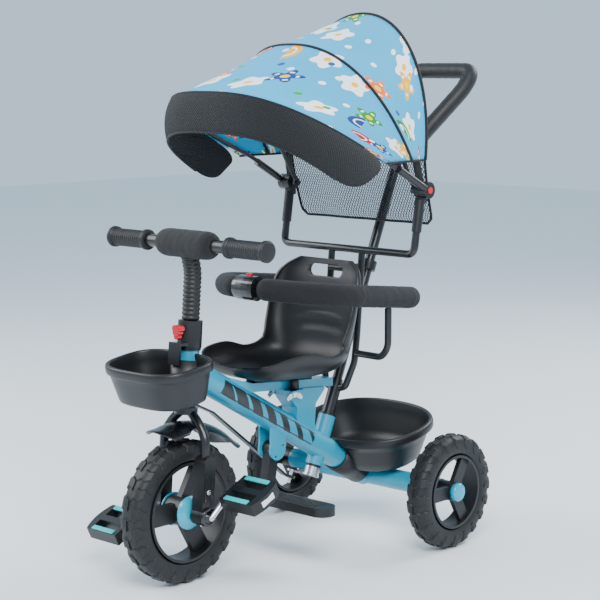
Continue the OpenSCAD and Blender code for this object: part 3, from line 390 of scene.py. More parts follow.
def tyre(name, axle, radius, width, depth, lugs, body, node):
    half, low = width / 2, radius - LUG
    arc = [
        (-half + 5, radius - depth), (-half + 1, radius - depth + 4), (-half, radius - depth + 12),
        (-half, low - 15), (-half + 2, low - 7), (-half + 7, low - 1.5), (-half * 0.4, low),
        (half * 0.4, low), (half - 7, low - 1.5), (half - 2, low - 7), (half, low - 15),
        (half, radius - depth + 12), (half - 1, radius - depth + 4), (half - 5, radius - depth)
    ]
    rows = [
        [axle + Vector((x, r * sin(2 * pi * k / 96), r * cos(2 * pi * k / 96))) / 1000 for x, r in arc]
        for k in range(96)
    ]
    carcass = piece(skin(name, rows, closed_rows=True), rubber, body, [node])
    rounding = carcass.modifiers.new("rounding", "SUBSURF")
    rounding.levels = rounding.render_levels = 1
    # A shoulder block follows the tyre from near its middle over the shoulder and down the side
    step = 2 * pi * radius / lugs
    shoulder = [
        (1.5, low - 0.5, -0.10, 0.62), (half * 0.4, low - 0.5, 0.06, 0.60),
        (half - 7, low - 2, -0.04, 0.66), (half - 2, low - 7, 0.10, 0.60),
        (half - 0.4, low - 15, -0.02, 0.50), (half - 0.4, low - 22, 0.12, 0.30)
    ]
    outward = [(0, 1), (0, 1), (0.35, 0.94), (0.8, 0.6), (1, 0.1), (1, 0)]
    for side, label in SIDES:
        strip = []
        for (x, r, lag, share), (ox, orr) in zip(shoulder, outward):
            ring = []
            for across, up in ((-0.5, 0), (-0.36, 1), (0.36, 1), (0.5, 0)):
                angle = (lag + across * share + (0.5 if side < 0 else 0)) * step / radius
                rise = up * (LUG if r > low - 12 else 1.7)
                far = r + orr * rise
                ring.append(Vector((side * (x + ox * rise), far * sin(angle), far * cos(angle))) / 1000)
            strip.append(ring)
        block = skin("%s_blocks_%s" % (name, label), strip)
        whole = around_axle(block, lugs, axle, rubber)
        whole.name = block.name + "_ring"
        blocks = piece(whole, rubber, body, smooth=False)
        edge = blocks.modifiers.new("edge", "BEVEL")
        edge.width, edge.segments = 0.0006, 2


FRONT_AXLE, REAR_AXLE = at(0, 0, 125), at(0, 482, 106)
REAR_HUB_OUT = 0.203
tyre("front_tread", FRONT_AXLE, 125, 46, 38, 22, "front_wheel", "front_tyre")
for side, word in SIDES:
    centre = REAR_AXLE + Vector((side * REAR_HUB_OUT, 0, 0))
    tyre("rear_tread_" + word, centre, 106, 40, 38, 20, "rear_wheel_" + word, "rear_tyre_" + word)

dome_plastic = Finish("cyan_plastic", (0.0, 0.33, 0.48), 0.22, coat=0.3).mottle(40, 0.06, 0.08)
dome_plastic.grain(dome_plastic.noise(700), 0.06, 0.0003)
dome_plastic.dress("front_hub_domes")


def lathe(name, centre, profile, sides=40, axis="X"):
    """A turned shape: profile points are (distance along the axis, radius) in millimetres."""
    rows = []
    for a, r in profile:
        row = []
        for k in range(sides):
            s, c = r * sin(2 * pi * k / sides), r * cos(2 * pi * k / sides)
            row.append(centre + Vector((a, s, c) if axis == "X" else (s, c, a)) / 1000)
        rows.append(row)
    return skin(name, rows)


for side, word in SIDES:
    hub = REAR_AXLE + Vector((side * REAR_HUB_OUT, 0, 0))
    cap = [(s * side, r) for s, r in (
        (15, 13.5), (15, 17), (23.5, 17), (26, 16), (27.6, 12), (28.2, 5), (28.3, 1)
    )]
    piece(lathe("rear_hub_cap_" + word, hub, cap), dome_plastic, "rear_wheel_" + word)

for side, word in SIDES:
    boss = FRONT_AXLE + Vector((side * 0.068, 0, 0))
    ring = [(s * side, r) for s, r in (
        (-3, 7), (-3, 16.2), (0.8, 16.2), (1.6, 15.2), (1.6, 12), (0.6, 11), (0.6, 7)
    )]
    piece(lathe("fork_boss_ring_" + word, boss, ring), polished, "steering")


# ---- Pedals, fork and fender ----
# The pedals are black mouldings with two cyan treads and a reflector. The fork legs end in
# moulded covers, each held by one screw. The fender is a thin shell that flares at its ends.
LEAN, THROW, PEDAL_TILT, PEDAL_OUT = radians(4.5), 57 * sqrt(0.5), radians(26), 87


def steering_at(x, y, d):
    """Millimetres in the steering's own frame, with d up the steering axis."""
    return at(x, y * cos(LEAN) + d * sin(LEAN), 125 + d * cos(LEAN) - y * sin(LEAN))


def rounded_bar(name, centre, size, turn, bevel):
    """A bar with rounded edges, tilted about X."""
    work = bmesh.new()
    bmesh.ops.create_cube(work, size=1)
    bmesh.ops.transform(work, verts=work.verts, matrix=Matrix.Diagonal((*[s / 1000 for s in size], 1)))
    bmesh.ops.bevel(work, geom=work.edges, offset=bevel, segments=3, affect="EDGES", profile=0.5)
    bmesh.ops.transform(work, verts=work.verts, matrix=Matrix.Rotation(turn, 4, "X"))
    bmesh.ops.translate(work, verts=work.verts, vec=centre)
    mesh = bpy.data.meshes.new(name)
    work.to_mesh(mesh)
    work.free()
    return mesh


pedal_tread = Finish("cyan_tread", (0.0, 0.50, 0.50), 0.4).mottle(60, 0.08, 0.1)
sideways = pedal_tread.split(pedal_tread.place())[0]
pedal_tread.grain(pedal_tread.math("PINGPONG", sideways, 0.0035) * 260, 0.7, 0.001)
lens_white = Finish("reflector", (0.82, 0.84, 0.85), 0.12, coat=0.8).mottle(90, 0.05, 0.05)
lengthways = lens_white.split(lens_white.place())[1]
lens_white.grain(lens_white.math("PINGPONG", lengthways, 0.0012) * 600, 0.5, 0.0005)
for side, word in SIDES:
    pin = at(0, side * THROW, 125 + side * THROW)

    def on_pedal(x, y, z):
        """A place on the pedal from its pin: along the pin, across it and up."""
        c, s = cos(PEDAL_TILT), sin(PEDAL_TILT)
        return pin + Vector((side * (PEDAL_OUT + x), y * c - z * s, y * s + z * c)) / 1000

    for place, end in ((-30, "front"), (30, "rear")):
        spot = on_pedal(36, place * 0.93, 11.4)
        tread = rounded_bar("tread_%s_%s" % (word, end), spot, (54, 9.5, 3.4), PEDAL_TILT, 0.0013)
        piece(tread, pedal_tread, "pedal_" + word)
    glass = rounded_bar("reflector_" + word, on_pedal(80.5, 0, 0), (3, 30, 11), PEDAL_TILT, 0.001)
    piece(glass, lens_white, "pedal_" + word)
    screw_row = [(s * side, r) for s, r in (
        (-2, 4.4), (0.5, 4.4), (1.3, 3.6), (1.5, 1.2), (0.9, 0.9), (0.8, 0.1)
    )]
    spot = steering_at(side * 65.2, 0, 42)
    piece(lathe("cover_screw_" + word, spot, screw_row, 20), zinc, "steering")
    for offset in (-7, 7):
        spot, label = steering_at(side * 65, offset, 48), "cover_rib_%s_%d" % (word, offset + 7)
        cover_rib = rounded_bar(label, spot, (1.6, 1.8, 44), -LEAN, 0.0005)
        piece(cover_rib, polished, "steering")

fender_shell = Finish("fender_black", (0.007, 0.007, 0.008), 0.27, coat=0.2).mottle(18, 0.2, 0.08)
fender_shell.grain(fender_shell.noise(1300), 0.12, 0.0003)
FENDER_HALF, FENDER_TOP, FENDER_DROP = 36, 154, 14
rows = []
for k in range(49):
    t = k / 48
    turn = radians(132 + 76 * t)
    tip = max(0, abs(2 * t - 1) - 0.7) / 0.3
    waist = 1 - 0.26 * max(0, 1 - abs(turn - pi) / 0.14) ** 0.5
    half = FENDER_HALF * waist * sqrt(max(0.03, 1 - tip ** 3.6))
    row = []
    for j in range(17):
        u = j / 8 - 1
        droop = FENDER_DROP * (half / FENDER_HALF) ** 2 * abs(u) ** 2.4
        lift = FENDER_TOP + 7 * tip ** 2 - droop
        row.append(steering_at(half * u, lift * sin(turn), -lift * cos(turn)))
    rows.append(row)
fender_skin = skin("fender_shell", rows, loop=False)
fender = piece(fender_skin, fender_shell, "steering", ["fender"])
wall = fender.modifiers.new("wall", "SOLIDIFY")
wall.thickness, wall.offset = 0.0028, 0
edge = fender.modifiers.new("edge", "BEVEL")
edge.width, edge.segments = 0.0008, 2


# ---- Handlebar ----
# A straight tube with two ribbed rubber grips and a foam pad in a knitted cover. Its stem
# stands in a clamp with a red knob, inside a ribbed bellows of soft vinyl.
def rounded(points, radius, steps, stride):
    """A path with rounded corners and even short steps along its straights."""
    points = [Vector(p) for p in points]
    path = [points[0]]

    def run_to(end):
        start = path[-1]
        n = max(1, ceil((end - start).length / stride))
        path.extend(start.lerp(end, (k + 1) / n) for k in range(n))

    for before, knee, after in zip(points, points[1:], points[2:]):
        a = knee + (before - knee).normalized() * radius
        b = knee + (after - knee).normalized() * radius
        run_to(a)
        for share in ((k + 1) / steps for k in range(steps)):
            path.append(a.lerp(knee, share).lerp(knee.lerp(b, share), share))
    run_to(points[-1])
    return path


def swept(path, radius, across, sides):
    """Rings along a path; radius is a function of the distance along it, the share and the angle."""
    rings, gone, total = [], 0.0, sum((b - a).length for a, b in zip(path, path[1:]))
    for i, point in enumerate(path):
        if i:
            gone += (point - path[i - 1]).length
        ahead = (path[min(i + 1, len(path) - 1)] - path[max(i - 1, 0)]).normalized()
        n = (Vector(across) - ahead * ahead.dot(Vector(across))).normalized()
        b = ahead.cross(n)
        rings.append([
            point + radius(gone, total, a) * (cos(a) * n + sin(a) * b)
            for a in (2 * pi * j / sides for j in range(sides))
        ])
    return rings


def weave(finish, cell, gain, relief, hollow_shade, raised_highlight):
    """A diagonal knit on the UV map: cells of a size, raised between their middles, with a painted
    highlight on the raised parts and painted shade in the hollows.
    """
    u, v, _ = finish.split(finish.place("UV"))
    falling, rising = finish.math("PINGPONG", u + v, cell), finish.math("PINGPONG", u - v, cell)
    cells = finish.math("MAXIMUM", falling, rising) * gain
    finish.grain(cells, *relief)
    # The colour runs from painted shade in the hollows to a painted highlight on the raised parts of the
    # cells.
    finish.put("Base Color", finish.blend(cells, (*hollow_shade, 1), (*raised_highlight, 1)))


vinyl = Finish("soft_vinyl", (0.010, 0.010, 0.0105), 0.48, specular=0.38).mottle(40, 0.25, 0.12)
vinyl.grain(vinyl.noise(900), 0.25, 0.0003)
knit = Finish("knitted_cover", (0.010, 0.010, 0.011), 0.8, sheen=0.1, specular=0.2).mottle(25, 0.3, 0.1)
knit.grain(knit.noise(22, 3), 0.2, 0.0015)
# The last two colours are the painted shade in the knit's hollows and the painted highlight on its raised
# cells.
weave(knit, 0.0016, 620, (0.8, 0.0009), (0.004, 0.004, 0.005), (0.018, 0.018, 0.020))

BAR_Y, BAR_Z, NECK_Z, COLLAR_TOP = -15, 458, 412, 328
stem_line = [(0, COLLAR_TOP + 1), (0, NECK_Z), (-11, BAR_Z - 14)]
bellows_path = rounded([steering_at(0, y, d) for y, d in stem_line], 0.014, 26, 0.0011)
BELLOWS_PITCH = 0.0075


def bellows_radius(gone, total, a):
    return 0.0133 + 0.0023 * abs(sin(pi * gone / BELLOWS_PITCH)) ** 0.6


ribbed = swept(bellows_path, bellows_radius, (1, 0, 0), 40)
piece(skin("bellows", ribbed), vinyl, "handlebar", ["stem_bellows"])

pad_path = [steering_at(x, BAR_Y, BAR_Z) for x in range(-64, 65, 2)]


def pad_radius(gone, total, a):
    end = min(gone, total - gone) / 0.02
    swell = sqrt(max(0.0, 1 - (1 - min(1, end)) ** 2))
    crease = 0.0003 * sin(gone * 310 + 2 * sin(a)) * sin(a * 2 + gone * 90)
    return 0.0135 + 0.0105 * swell + crease * swell


pad_skin = skin("handlebar_cover", swept(pad_path, pad_radius, (0, 0, 1), 36))
bar_pad = piece(pad_skin, knit, "handlebar", ["handlebar_pad"])
for side, word in SIDES:
    profile = [(97, 11.2), (97, 17), (98.5, 18), (104, 18), (105.5, 16)]
    for k in range(14):
        x = 107 + k * 5.2
        profile += [(x, 14.6), (x + 0.7, 15.9), (x + 3.4, 15.9), (x + 4.1, 14.6)]
    profile += [(180, 15.2), (181, 18), (187, 18.4), (189, 17), (189.6, 13), (189.6, 1)]
    rows = []
    for x, r in profile:
        ring = []
        for k in range(40):
            a = 2 * pi * k / 40
            swell = r * (1 - 0.05 * (105 < x < 180) * max(0, cos(3 * a)))
            ring.append(steering_at(side * x, BAR_Y + swell * sin(a), BAR_Z + swell * cos(a)))
        rows.append(ring)
    piece(skin("grip_rubber_" + word, rows), vinyl, "handlebar", ["grip_" + word])


# ---- Baskets ----
# Both baskets are injection moulded bowls with a rolled rim. The front one hangs on the
# bracket under the clamp and the rear one sits over the main tube and the rear axle tube.
basket_plastic = Finish("basket_black", (0.008, 0.008, 0.009), 0.38, specular=0.42)
basket_plastic.mottle(16, 0.25, 0.14)
basket_plastic.grain(basket_plastic.noise(1100), 0.35, 0.0004)


def bowl(name, a, b, depth, taper, n, to_place, sides=72):
    """A moulded bowl from its outer wall, over a rolled rim, down its inner wall."""
    outside = [
        (-depth, taper + 8), (-depth, taper + 1), (1.5 - depth, taper - 2),
        (6 - depth, taper * 0.78)
    ]
    outside += [
        (-depth + 6 + (depth - 23) * k / 4, taper * (0.78 - 0.66 * k / 4)) for k in range(1, 5)
    ]
    rim = [
        (-16.5, 1.5), (-16, -2.2), (-14, -3.2), (-8, -3.4), (-3, -3), (-0.8, -1.5), (0, 1),
        (-0.6, 3.5), (-3, 5)
    ]
    inside = [(z, t + 3.2) for z, t in reversed(outside[3:])]
    inside += [(2.6 - depth + 2, taper + 2), (2.6 - depth, taper + 6), (2.6 - depth, taper + 14)]
    rows = []
    for z, inset in outside + rim + inside:
        ring = []
        for k in range(sides):
            t = 2 * pi * k / sides
            c, s = cos(t), sin(t)
            x = (a - inset) * copysign(abs(c) ** (2 / n), c)
            y = (b - inset * 0.85) * copysign(abs(s) ** (2 / n), s)
            ring.append(to_place(x, y, z))
        rows.append(ring)
    return skin(name, rows)


def carve(target, cutter_mesh, name):
    """Cuts a shape out of a piece and works the cut into its mesh."""
    work = bmesh.new()
    work.from_mesh(cutter_mesh)
    bmesh.ops.remove_doubles(work, verts=work.verts, dist=1e-6)
    bmesh.ops.recalc_face_normals(work, faces=work.faces)
    work.to_mesh(cutter_mesh)
    work.free()
    tool = bpy.data.objects.new(name, cutter_mesh)
    bpy.context.scene.collection.objects.link(tool)
    cut = target.modifiers.new(name, "BOOLEAN")
    cut.operation, cut.solver, cut.object = "DIFFERENCE", "EXACT", tool
    baked(target)
    bpy.data.objects.remove(tool)


def front_basket_at(x, y, z):
    tip = radians(12.5)
    return steering_at(x, -70 + y * cos(tip) - z * sin(tip), 261 + y * sin(tip) + z * cos(tip))


front_bowl = piece(
    bowl("front_bowl", 92, 64, 68, 16, 3, front_basket_at), basket_plastic, "steering",
    ["front_basket"]
)
WHOLE_TURN = [2 * pi * k / 48 for k in range(48)]
NOTCH, NOTCH_WALL = 28, 31
notch = [[steering_at(NOTCH * cos(t), NOTCH * sin(t), d) for t in WHOLE_TURN] for d in (120, 420)]
carve(front_bowl, skin("notch", notch), "notch")
back_wall = []
for t in (radians(188 + 164 * k / 24) for k in range(25)):
    corners = ((NOTCH, 190), (NOTCH_WALL, 190), (NOTCH_WALL, 262), (NOTCH, 262))
    back_wall.append([steering_at(r * cos(t), r * sin(t), d) for r, d in corners])
piece(skin("front_bowl_back", back_wall), basket_plastic, "steering")


def rear_basket_at(x, y, z):
    tip = radians(13)
    return at(x, 480 + y * cos(tip) - z * sin(tip), 212 + y * sin(tip) + z * cos(tip))


rear_bowl = piece(
    bowl("rear_bowl", 136, 98, 78, 40, 2.3, rear_basket_at, 96), basket_plastic, "root",
    ["rear_basket"]
)
sidewise = Vector((1, 0, 0))
upwards = sidewise.cross(along) * -1
TUNNEL, TUNNEL_WALL, AXLE_TUNNEL = 0.0246, 0.0272, 0.0192


def round_tube(radius, distance, turns):
    """An arc about the main tube, at a distance from its front end."""
    middle = front_tube_end + along * distance
    return [middle + radius * (cos(t) * sidewise + sin(t) * upwards) for t in turns]


tunnel_cut = [round_tube(TUNNEL, distance, WHOLE_TURN) for distance in (0.2, 0.64)]
carve(rear_bowl, skin("tunnel_cut", tunnel_cut), "tunnel_cut")
axle_cut = [
    [REAR_AXLE + Vector((x, AXLE_TUNNEL * cos(t), AXLE_TUNNEL * sin(t))) for t in WHOLE_TURN]
    for x in (-0.3, 0.3)
]
carve(rear_bowl, skin("axle_cut", axle_cut), "axle_cut")
roof = [radians(-25 + 230 * k / 28) for k in range(29)]
corners = ((TUNNEL, 0.432), (TUNNEL_WALL, 0.432), (TUNNEL_WALL, 0.508), (TUNNEL, 0.508))
tunnel = list(zip(*[round_tube(radius, distance, roof) for radius, distance in corners]))
piece(skin("rear_bowl_tunnel", tunnel), basket_plastic, "root")
foot_profile = [(19.3, 1), (19.3, 5.5), (30, 6.5), (46, 7.5), (47, 1)]
for side, word in SIDES[::-1]:
    foot = lathe("rear_bowl_foot_" + word, at(side * 24, 482, 106), foot_profile, 24, "Z")
    piece(foot, basket_plastic, "root")


# ---- Seat ----
# One moulded shell of black plastic: a pan with raised sides that turns up into a back, with
# three shallow swages across the back and a hand hole at the top. Two wing nuts hold it.
seat_plastic = Finish("seat_black", (0.008, 0.008, 0.009), 0.38, specular=0.42).mottle(12, 0.25, 0.14)
seat_plastic.grain(seat_plastic.noise(700, 3), 0.4, 0.0005)
STATIONS = [
    (129, 350, 0.66, 14, 0), (139, 339, 0.86, 32, 0), (165, 331, 0.97, 48, 0), (215, 328, 1, 54, 0),
    (262, 328, 1, 42, 0), (303, 331, 0.98, 43, 14), (334, 343, 0.95, 48, 38), (351, 368, 0.93, 50, 62),
    (358, 410, 0.97, 42, 80), (364, 450, 0.98, 36, 82), (370, 489, 0.96, 28, 82), (375, 512, 0.83, 18, 82),
    (378, 528, 0.6, 9, 82)
]


def seat_station(t):
    """A station between those of the mould, on a smooth curve through them."""
    i = min(int(t), len(STATIONS) - 2)
    f = t - i
    p0, p1, p2, p3 = (STATIONS[min(max(i + k, 0), len(STATIONS) - 1)] for k in (-1, 0, 1, 2))
    return [
        0.5 * (
            2 * b + (c - a) * f + (2 * a - 5 * b + 4 * c - d) * f * f
            + (3 * b - a - 3 * c + d) * f ** 3
        )
        for a, b, c, d in zip(p0, p1, p2, p3)
    ]


def seat_place(t, phi, inset):
    y, z, share, sides, lean = seat_station(t)
    lean = radians(lean)
    half = share * 108 - inset
    up = inset + (sides - inset) * (1 - cos(phi)) ** 1.3
    x = half * copysign(abs(sin(phi)) ** 0.8, phi)
    if inset and t > 7:
        for height, width in ((408, 62), (436, 66), (464, 60)):
            bow = height - 7 * (x / 60) ** 2
            up -= 2.6 * max(0, 1 - abs(z - bow) / 9) ** 0.7 * max(0, 1 - (x / width) ** 4)
    return at(x, y - up * sin(lean), z + up * cos(lean))


rings = []
for k in range(97):
    t = 12 * k / 96
    outer = [seat_place(t, pi / 2 * (1 - 2 * j / 28), 0) for j in range(29)]
    inner = [seat_place(t, pi / 2 * (2 * j / 28 - 1), 5) for j in range(29)]
    rings.append(outer + inner)
seat = piece(skin("seat_moulding", rings), seat_plastic, "root", ["seat_shell"])
HOLE_HALF, HOLE_RADIUS, HOLE_Z = 29, 11, 507
hole_edge = []
for t in (2 * pi * (k + 0.5) / 40 for k in range(40)):
    x = HOLE_HALF * copysign(1, cos(t)) + HOLE_RADIUS * cos(t)
    hole_edge.append((x, HOLE_Z + HOLE_RADIUS * sin(t)))
hand_hole = [[at(x, y, z) for x, z in hole_edge] for y in (330, 400)]
carve(seat, skin("hand_hole", hand_hole), "hand_hole")
lip = seat.modifiers.new("lip", "BEVEL")
lip.width, lip.segments, lip.limit_method, lip.angle_limit = 0.0013, 2, "ANGLE", radians(50)
foot = rounded_bar("seat_foot", at(0, 245, 328), (24, 150, 20), radians(-5), 0.002)
piece(foot, seat_plastic, "root")
for side, word in SIDES:
    boss_profile = [(0, 1), (0, 8), (27, 8.6), (27, 1)]
    boss = lathe("seat_boss_" + word, at(side * 26, 256, 303), boss_profile, 28, "Z")
    piece(boss, seat_plastic, "root")


# ---- Push handle, footrest and guard ring ----
# The push handle's loop and both halves of the guard ring are tubes in thick foam, under a
# knitted cover on the ring. The footrest is a long moulded bar with ribs along its top.
HANDLE_LEAN, HANDLE_Z = radians(23), 180.571


def handle_at(x, y, d):
    """Millimetres in the push handle's own frame, with d up its axis."""
    c, s = cos(HANDLE_LEAN), sin(HANDLE_LEAN)
    return at(x, 350 + y * c + d * s, HANDLE_Z + d * c - y * s)


def fat(radius, end, wrinkle=0.0, pitch=300):
    """A radius for a padded tube that is rounded at both ends and slightly puckered."""
    def measure(gone, total, a):
        near = min(1, min(gone, total - gone) / end)
        pucker = wrinkle * sin(gone * pitch + 3 * sin(a + gone * 9)) * (0.6 + 0.4 * sin(gone * 71 + a))
        return (radius + pucker) * sqrt(max(0.02, 1 - (1 - near) ** 2))
    return measure


grip_foam = Finish("grip_foam", (0.008, 0.008, 0.009), 0.5, sheen=0.05, specular=0.4)
grip_foam.mottle(60, 0.3, 0.12)
grip_foam.grain(grip_foam.noise(1300, 3), 0.4, 0.0004)
foot, top = handle_at(0, 0, 569) + Vector((0.009, 0, 0)), at(0, 712, 870)
knee = top + Vector((0.07, -0.024, -0.032))
corners = [foot.lerp(knee, 0.25), knee, top + Vector((0.07, 0, 0)), top - Vector((0.07, 0, 0))]
corners += [Vector((-p.x, p.y, p.z)) for p in (corners[1], corners[0])]
loop_side = Vector((1, 0, 0)).cross((top - handle_at(0, 0, 569)).normalized())
loop_rings = swept(rounded(corners, 0.02, 10, 0.004), fat(0.0152, 0.004, 0.0002), loop_side, 32)
push_cover = piece(skin("push_foam", loop_rings), grip_foam, "push_handle", ["push_grip"])

rib = rounded_bar("footrest_rib", Vector((0, 0, 0)), (1.8, 34, 1.4), 0.0, 0.0005)
ribs = bpy.data.node_groups.new("rib_row", "GeometryNodeTree")
for label, kind in (
    ("Rib", "Geometry"), ("Count", "Int"), ("Start", "Vector"), ("Pitch", "Vector"),
    ("Finish", "Material")
):
    ribs.interface.new_socket(label, in_out="INPUT", socket_type="NodeSocket" + kind)
ribs.interface.new_socket("Row", in_out="OUTPUT", socket_type="NodeSocketGeometry")
given, result = ribs.nodes.new("NodeGroupInput"), ribs.nodes.new("NodeGroupOutput")
line, copies = ribs.nodes.new("GeometryNodeMeshLine"), ribs.nodes.new("GeometryNodeInstanceOnPoints")
real, coat = ribs.nodes.new("GeometryNodeRealizeInstances"), ribs.nodes.new("GeometryNodeSetMaterial")
for source, target in (
    (given.outputs["Count"], line.inputs["Count"]), (given.outputs["Start"], line.inputs["Start Location"]),
    (given.outputs["Pitch"], line.inputs["Offset"]), (line.outputs[0], copies.inputs["Points"]),
    (given.outputs["Rib"], copies.inputs["Instance"]), (copies.outputs[0], real.inputs[0]),
    (real.outputs[0], coat.inputs["Geometry"]), (given.outputs["Finish"], coat.inputs["Material"]),
    (coat.outputs[0], result.inputs[0])
):
    ribs.links.new(source, target)
carrier = bpy.data.objects.new("footrest_ribs", rib)
bpy.context.scene.collection.objects.link(carrier)
row = carrier.modifiers.new("row", "NODES")
row.node_group = ribs
names = {item.name: item.identifier for item in ribs.interface.items_tree}
row[names["Count"]] = 45
row[names["Start"]] = at(-132, 208, 118.4)
row[names["Pitch"]] = (0.006, 0, 0)
row[names["Finish"]] = moulded.material
row_mesh = baked(carrier).data
bpy.data.objects.remove(carrier)
row_mesh.name = "footrest_ribs"
piece(row_mesh, moulded, "footrest", smooth=False)

GUARD_TILT, RING_RADIUS, SEAM_DEPTH = radians(6.56), 136, 19.9


def guard_at(x, y, z):
    """Millimetres in the guard ring's own plane, from the middle of its front arc."""
    c, s = cos(GUARD_TILT), sin(GUARD_TILT)
    return at(x, 301 + y * c + z * s, 478.4 - y * s + z * c)


sleeve = Finish("guard_sleeve", (0.009, 0.009, 0.010), 0.82, sheen=0.08, specular=0.2)
sleeve.mottle(25, 0.3, 0.1)
sleeve.grain(sleeve.noise(30, 3), 0.35, 0.002)
# The last two colours are the painted shade in the knit's hollows and the painted highlight on its raised
# cells.
weave(sleeve, 0.0021, 480, (0.8, 0.0010), (0.004, 0.004, 0.0045), (0.017, 0.017, 0.019))
for side, word in SIDES:
    first = 9.2 if side > 0 else 9.0
    arc = [radians(first + (90 - first) * k / 40) for k in range(41)]
    path = [guard_at(side * RING_RADIUS * sin(a), -RING_RADIUS * cos(a), 0) for a in arc]
    path += [guard_at(side * RING_RADIUS, y, 0) for y in range(4, 165, 4)]
    cover = swept(path, fat(0.0198, 0.017, 0.0003, 260), (0, 0, 1), 36)
    body = "guard_" + word
    pad = piece(skin("guard_foam_" + word, cover), sleeve, body, ["guard_pad_" + word])
    inner = RING_RADIUS - SEAM_DEPTH
    bead = [guard_at(side * inner * sin(a), -inner * cos(a), 0) for a in arc[2:]]
    bead += [guard_at(side * inner, y, 0) for y in range(4, 150, 6)]
    seam = swept(bead, lambda gone, total, a: 0.0009 + 0.0003 * sin(gone * 2100), (0, 0, 1), 8)
    piece(skin("guard_seam_" + word, seam), grip_foam, "guard_" + word)
    for y in (-4, 138):
        band_path = [guard_at(side * RING_RADIUS, y + k, 0) for k in (0, 1.5, 3, 4.5)]
        band = swept(band_path, fat(0.0207, 0.002), (0, 0, 1), 36)
        piece(skin("guard_band_%s_%d" % (word, y + 4), band), grip_foam, "guard_" + word)


# ---- Canopy ----
# A printed polyester cloth stretched over three hoops, bound in black tape. A padded brim of
# spacer mesh goes along its front edge and a curtain of open mesh hangs at the back.
HINGE = 659


def hoop(width, power, base, apex, t):
    up = abs(sin(t)) ** (2 / power)
    x = width * copysign(abs(cos(t)) ** (2 / power), cos(t))
    return at(x, base[0] + (apex[0] - base[0]) * up, HINGE + base[1] + (apex[1] - base[1]) * up)


FRONT = (180, 2.8, (326, 53), (68, 176))
MIDDLE = (176, 2.4, (400, 54), (272, 257))
REAR = (174, 2.1, (439, 54), (468, 315))


def over_hoops(t, s):
    """A place on the cloth: t goes from side to side and s from the front hoop to the rear one."""
    a, b = (FRONT, MIDDLE) if s < 1 else (MIDDLE, REAR)
    f = s - (s >= 1)
    start, end = hoop(*a, t), hoop(*b, t)
    middle_out = at(0, 330, 690) - start.lerp(end, f)
    dip = 0.004 * sin(pi * f) * sin(t) + 0.0012 * sin(pi * f) * sin(9 * t + 4 * s)
    return start.lerp(end, f) + middle_out.normalized() * dip


print_cloth = Finish("printed_cloth", (0.25, 0.68, 0.92), 0.72, sheen=0.1, specular=0.2)
metres = print_cloth.place("UV")
ground = print_cloth.blend(print_cloth.noise(5), (0.0, 0.34, 0.58, 1), (0.03, 0.43, 0.76, 1))


def motif(scale, seed, keep):
    """Scattered places on the cloth: the distance to the nearest, the angle, a chance, if it is kept."""
    shift = (seed, seed * 0.7, 0)
    moved = print_cloth.node("ShaderNodeVectorMath", {"operation": "ADD"}, {0: metres, 1: shift})
    colour, centre = print_cloth.node(
        "ShaderNodeTexVoronoi", {"voronoi_dimensions": "2D"},
        {"Vector": moved, "Scale": scale, "Randomness": 0.75}, ["Color", "Position"]
    )
    apart = print_cloth.node("ShaderNodeVectorMath", {"operation": "SUBTRACT"}, {0: moved, 1: centre})
    dx, dy, _ = print_cloth.split(apart)
    chance, other, third = print_cloth.split(colour)
    reach = print_cloth.math("SQRT", dx * dx + dy * dy, 0)
    angle = print_cloth.math("ARCTAN2", dy, dx) + other * 6.28
    return reach, angle, chance, third < keep


def shape_of(reach, angle, size, lobes, depth):
    """Where a flower of that size lies, with its petals cut in by a share of its radius."""
    return reach < (print_cloth.math("COSINE", angle * lobes, 0) * depth + (1 - depth)) * size


PALETTE = [
    (0.0, (0.45, 0.0, 0.008)), (0.2, (0.85, 0.15, 0.0)), (0.4, (0.90, 0.42, 0.0)),
    (0.6, (0.0, 0.04, 0.20)), (0.8, (0.0, 0.25, 0.006))
]
coloured = ground
reach, angle, _, kept = motif(8.4, 3.1, 0.85)
WHITE = (0.93, 0.95, 0.96)
white_flower = shape_of(reach, angle, 0.027, 5, 0.15) * kept
coloured = print_cloth.blend(white_flower, coloured, (*WHITE, 1))
coloured = print_cloth.blend((reach < 0.0062) * kept, coloured, (0.95, 0.52, 0.0, 1))
reach, angle, chance, kept = motif(8.8, 5.3, 0.8)
hue = print_cloth.node("ShaderNodeValToRGB", {"stops": PALETTE}, {0: chance})
petals = shape_of(reach, angle, 0.027, 5, 0.26) * kept
coloured = print_cloth.blend(petals, coloured, hue)
specks = (abs(reach - 0.0165) < 0.0022) * (print_cloth.math("COSINE", angle * 5, 0) > 0.5)
coloured = print_cloth.blend(petals * specks, coloured, (0.9, 0.92, 0.9, 1))
coloured = print_cloth.blend((reach < 0.0065) * kept, coloured, (0.95, 0.60, 0.0, 1))
reach, angle, chance, kept = motif(9.6, 12.9, 0.6)
hue = print_cloth.node("ShaderNodeValToRGB", {"stops": PALETTE}, {0: chance})
half_moon = (reach < 0.024) * (print_cloth.math("SINE", angle, 0) > 0.0) * kept
coloured = print_cloth.blend(half_moon, coloured, hue)
coloured = print_cloth.blend(half_moon * (abs(reach - 0.0145) < 0.0016), coloured, (*WHITE, 1))
reach, _, chance, kept = motif(17.0, 19.3, 0.75)
DOTS = [(0.0, WHITE), (0.55, (0.0, 0.35, 0.01)), (0.8, (0.0, 0.10, 0.28))]
hue = print_cloth.node("ShaderNodeValToRGB", {"stops": DOTS}, {0: chance})
coloured = print_cloth.blend((reach < 0.0055) * kept, coloured, hue)
print_cloth.put("Base Color", coloured)
print_cloth.grain(print_cloth.noise(16, 3), 0.35, 0.004)
u, v, _ = print_cloth.split(metres)
warp, weft = print_cloth.math("PINGPONG", u, 0.0006), print_cloth.math("PINGPONG", v, 0.0006)
print_cloth.grain(warp * 900 + weft * 900, 0.2, 0.0003)
print_cloth.put("Roughness", 0.68 + print_cloth.noise(40) * 0.1)

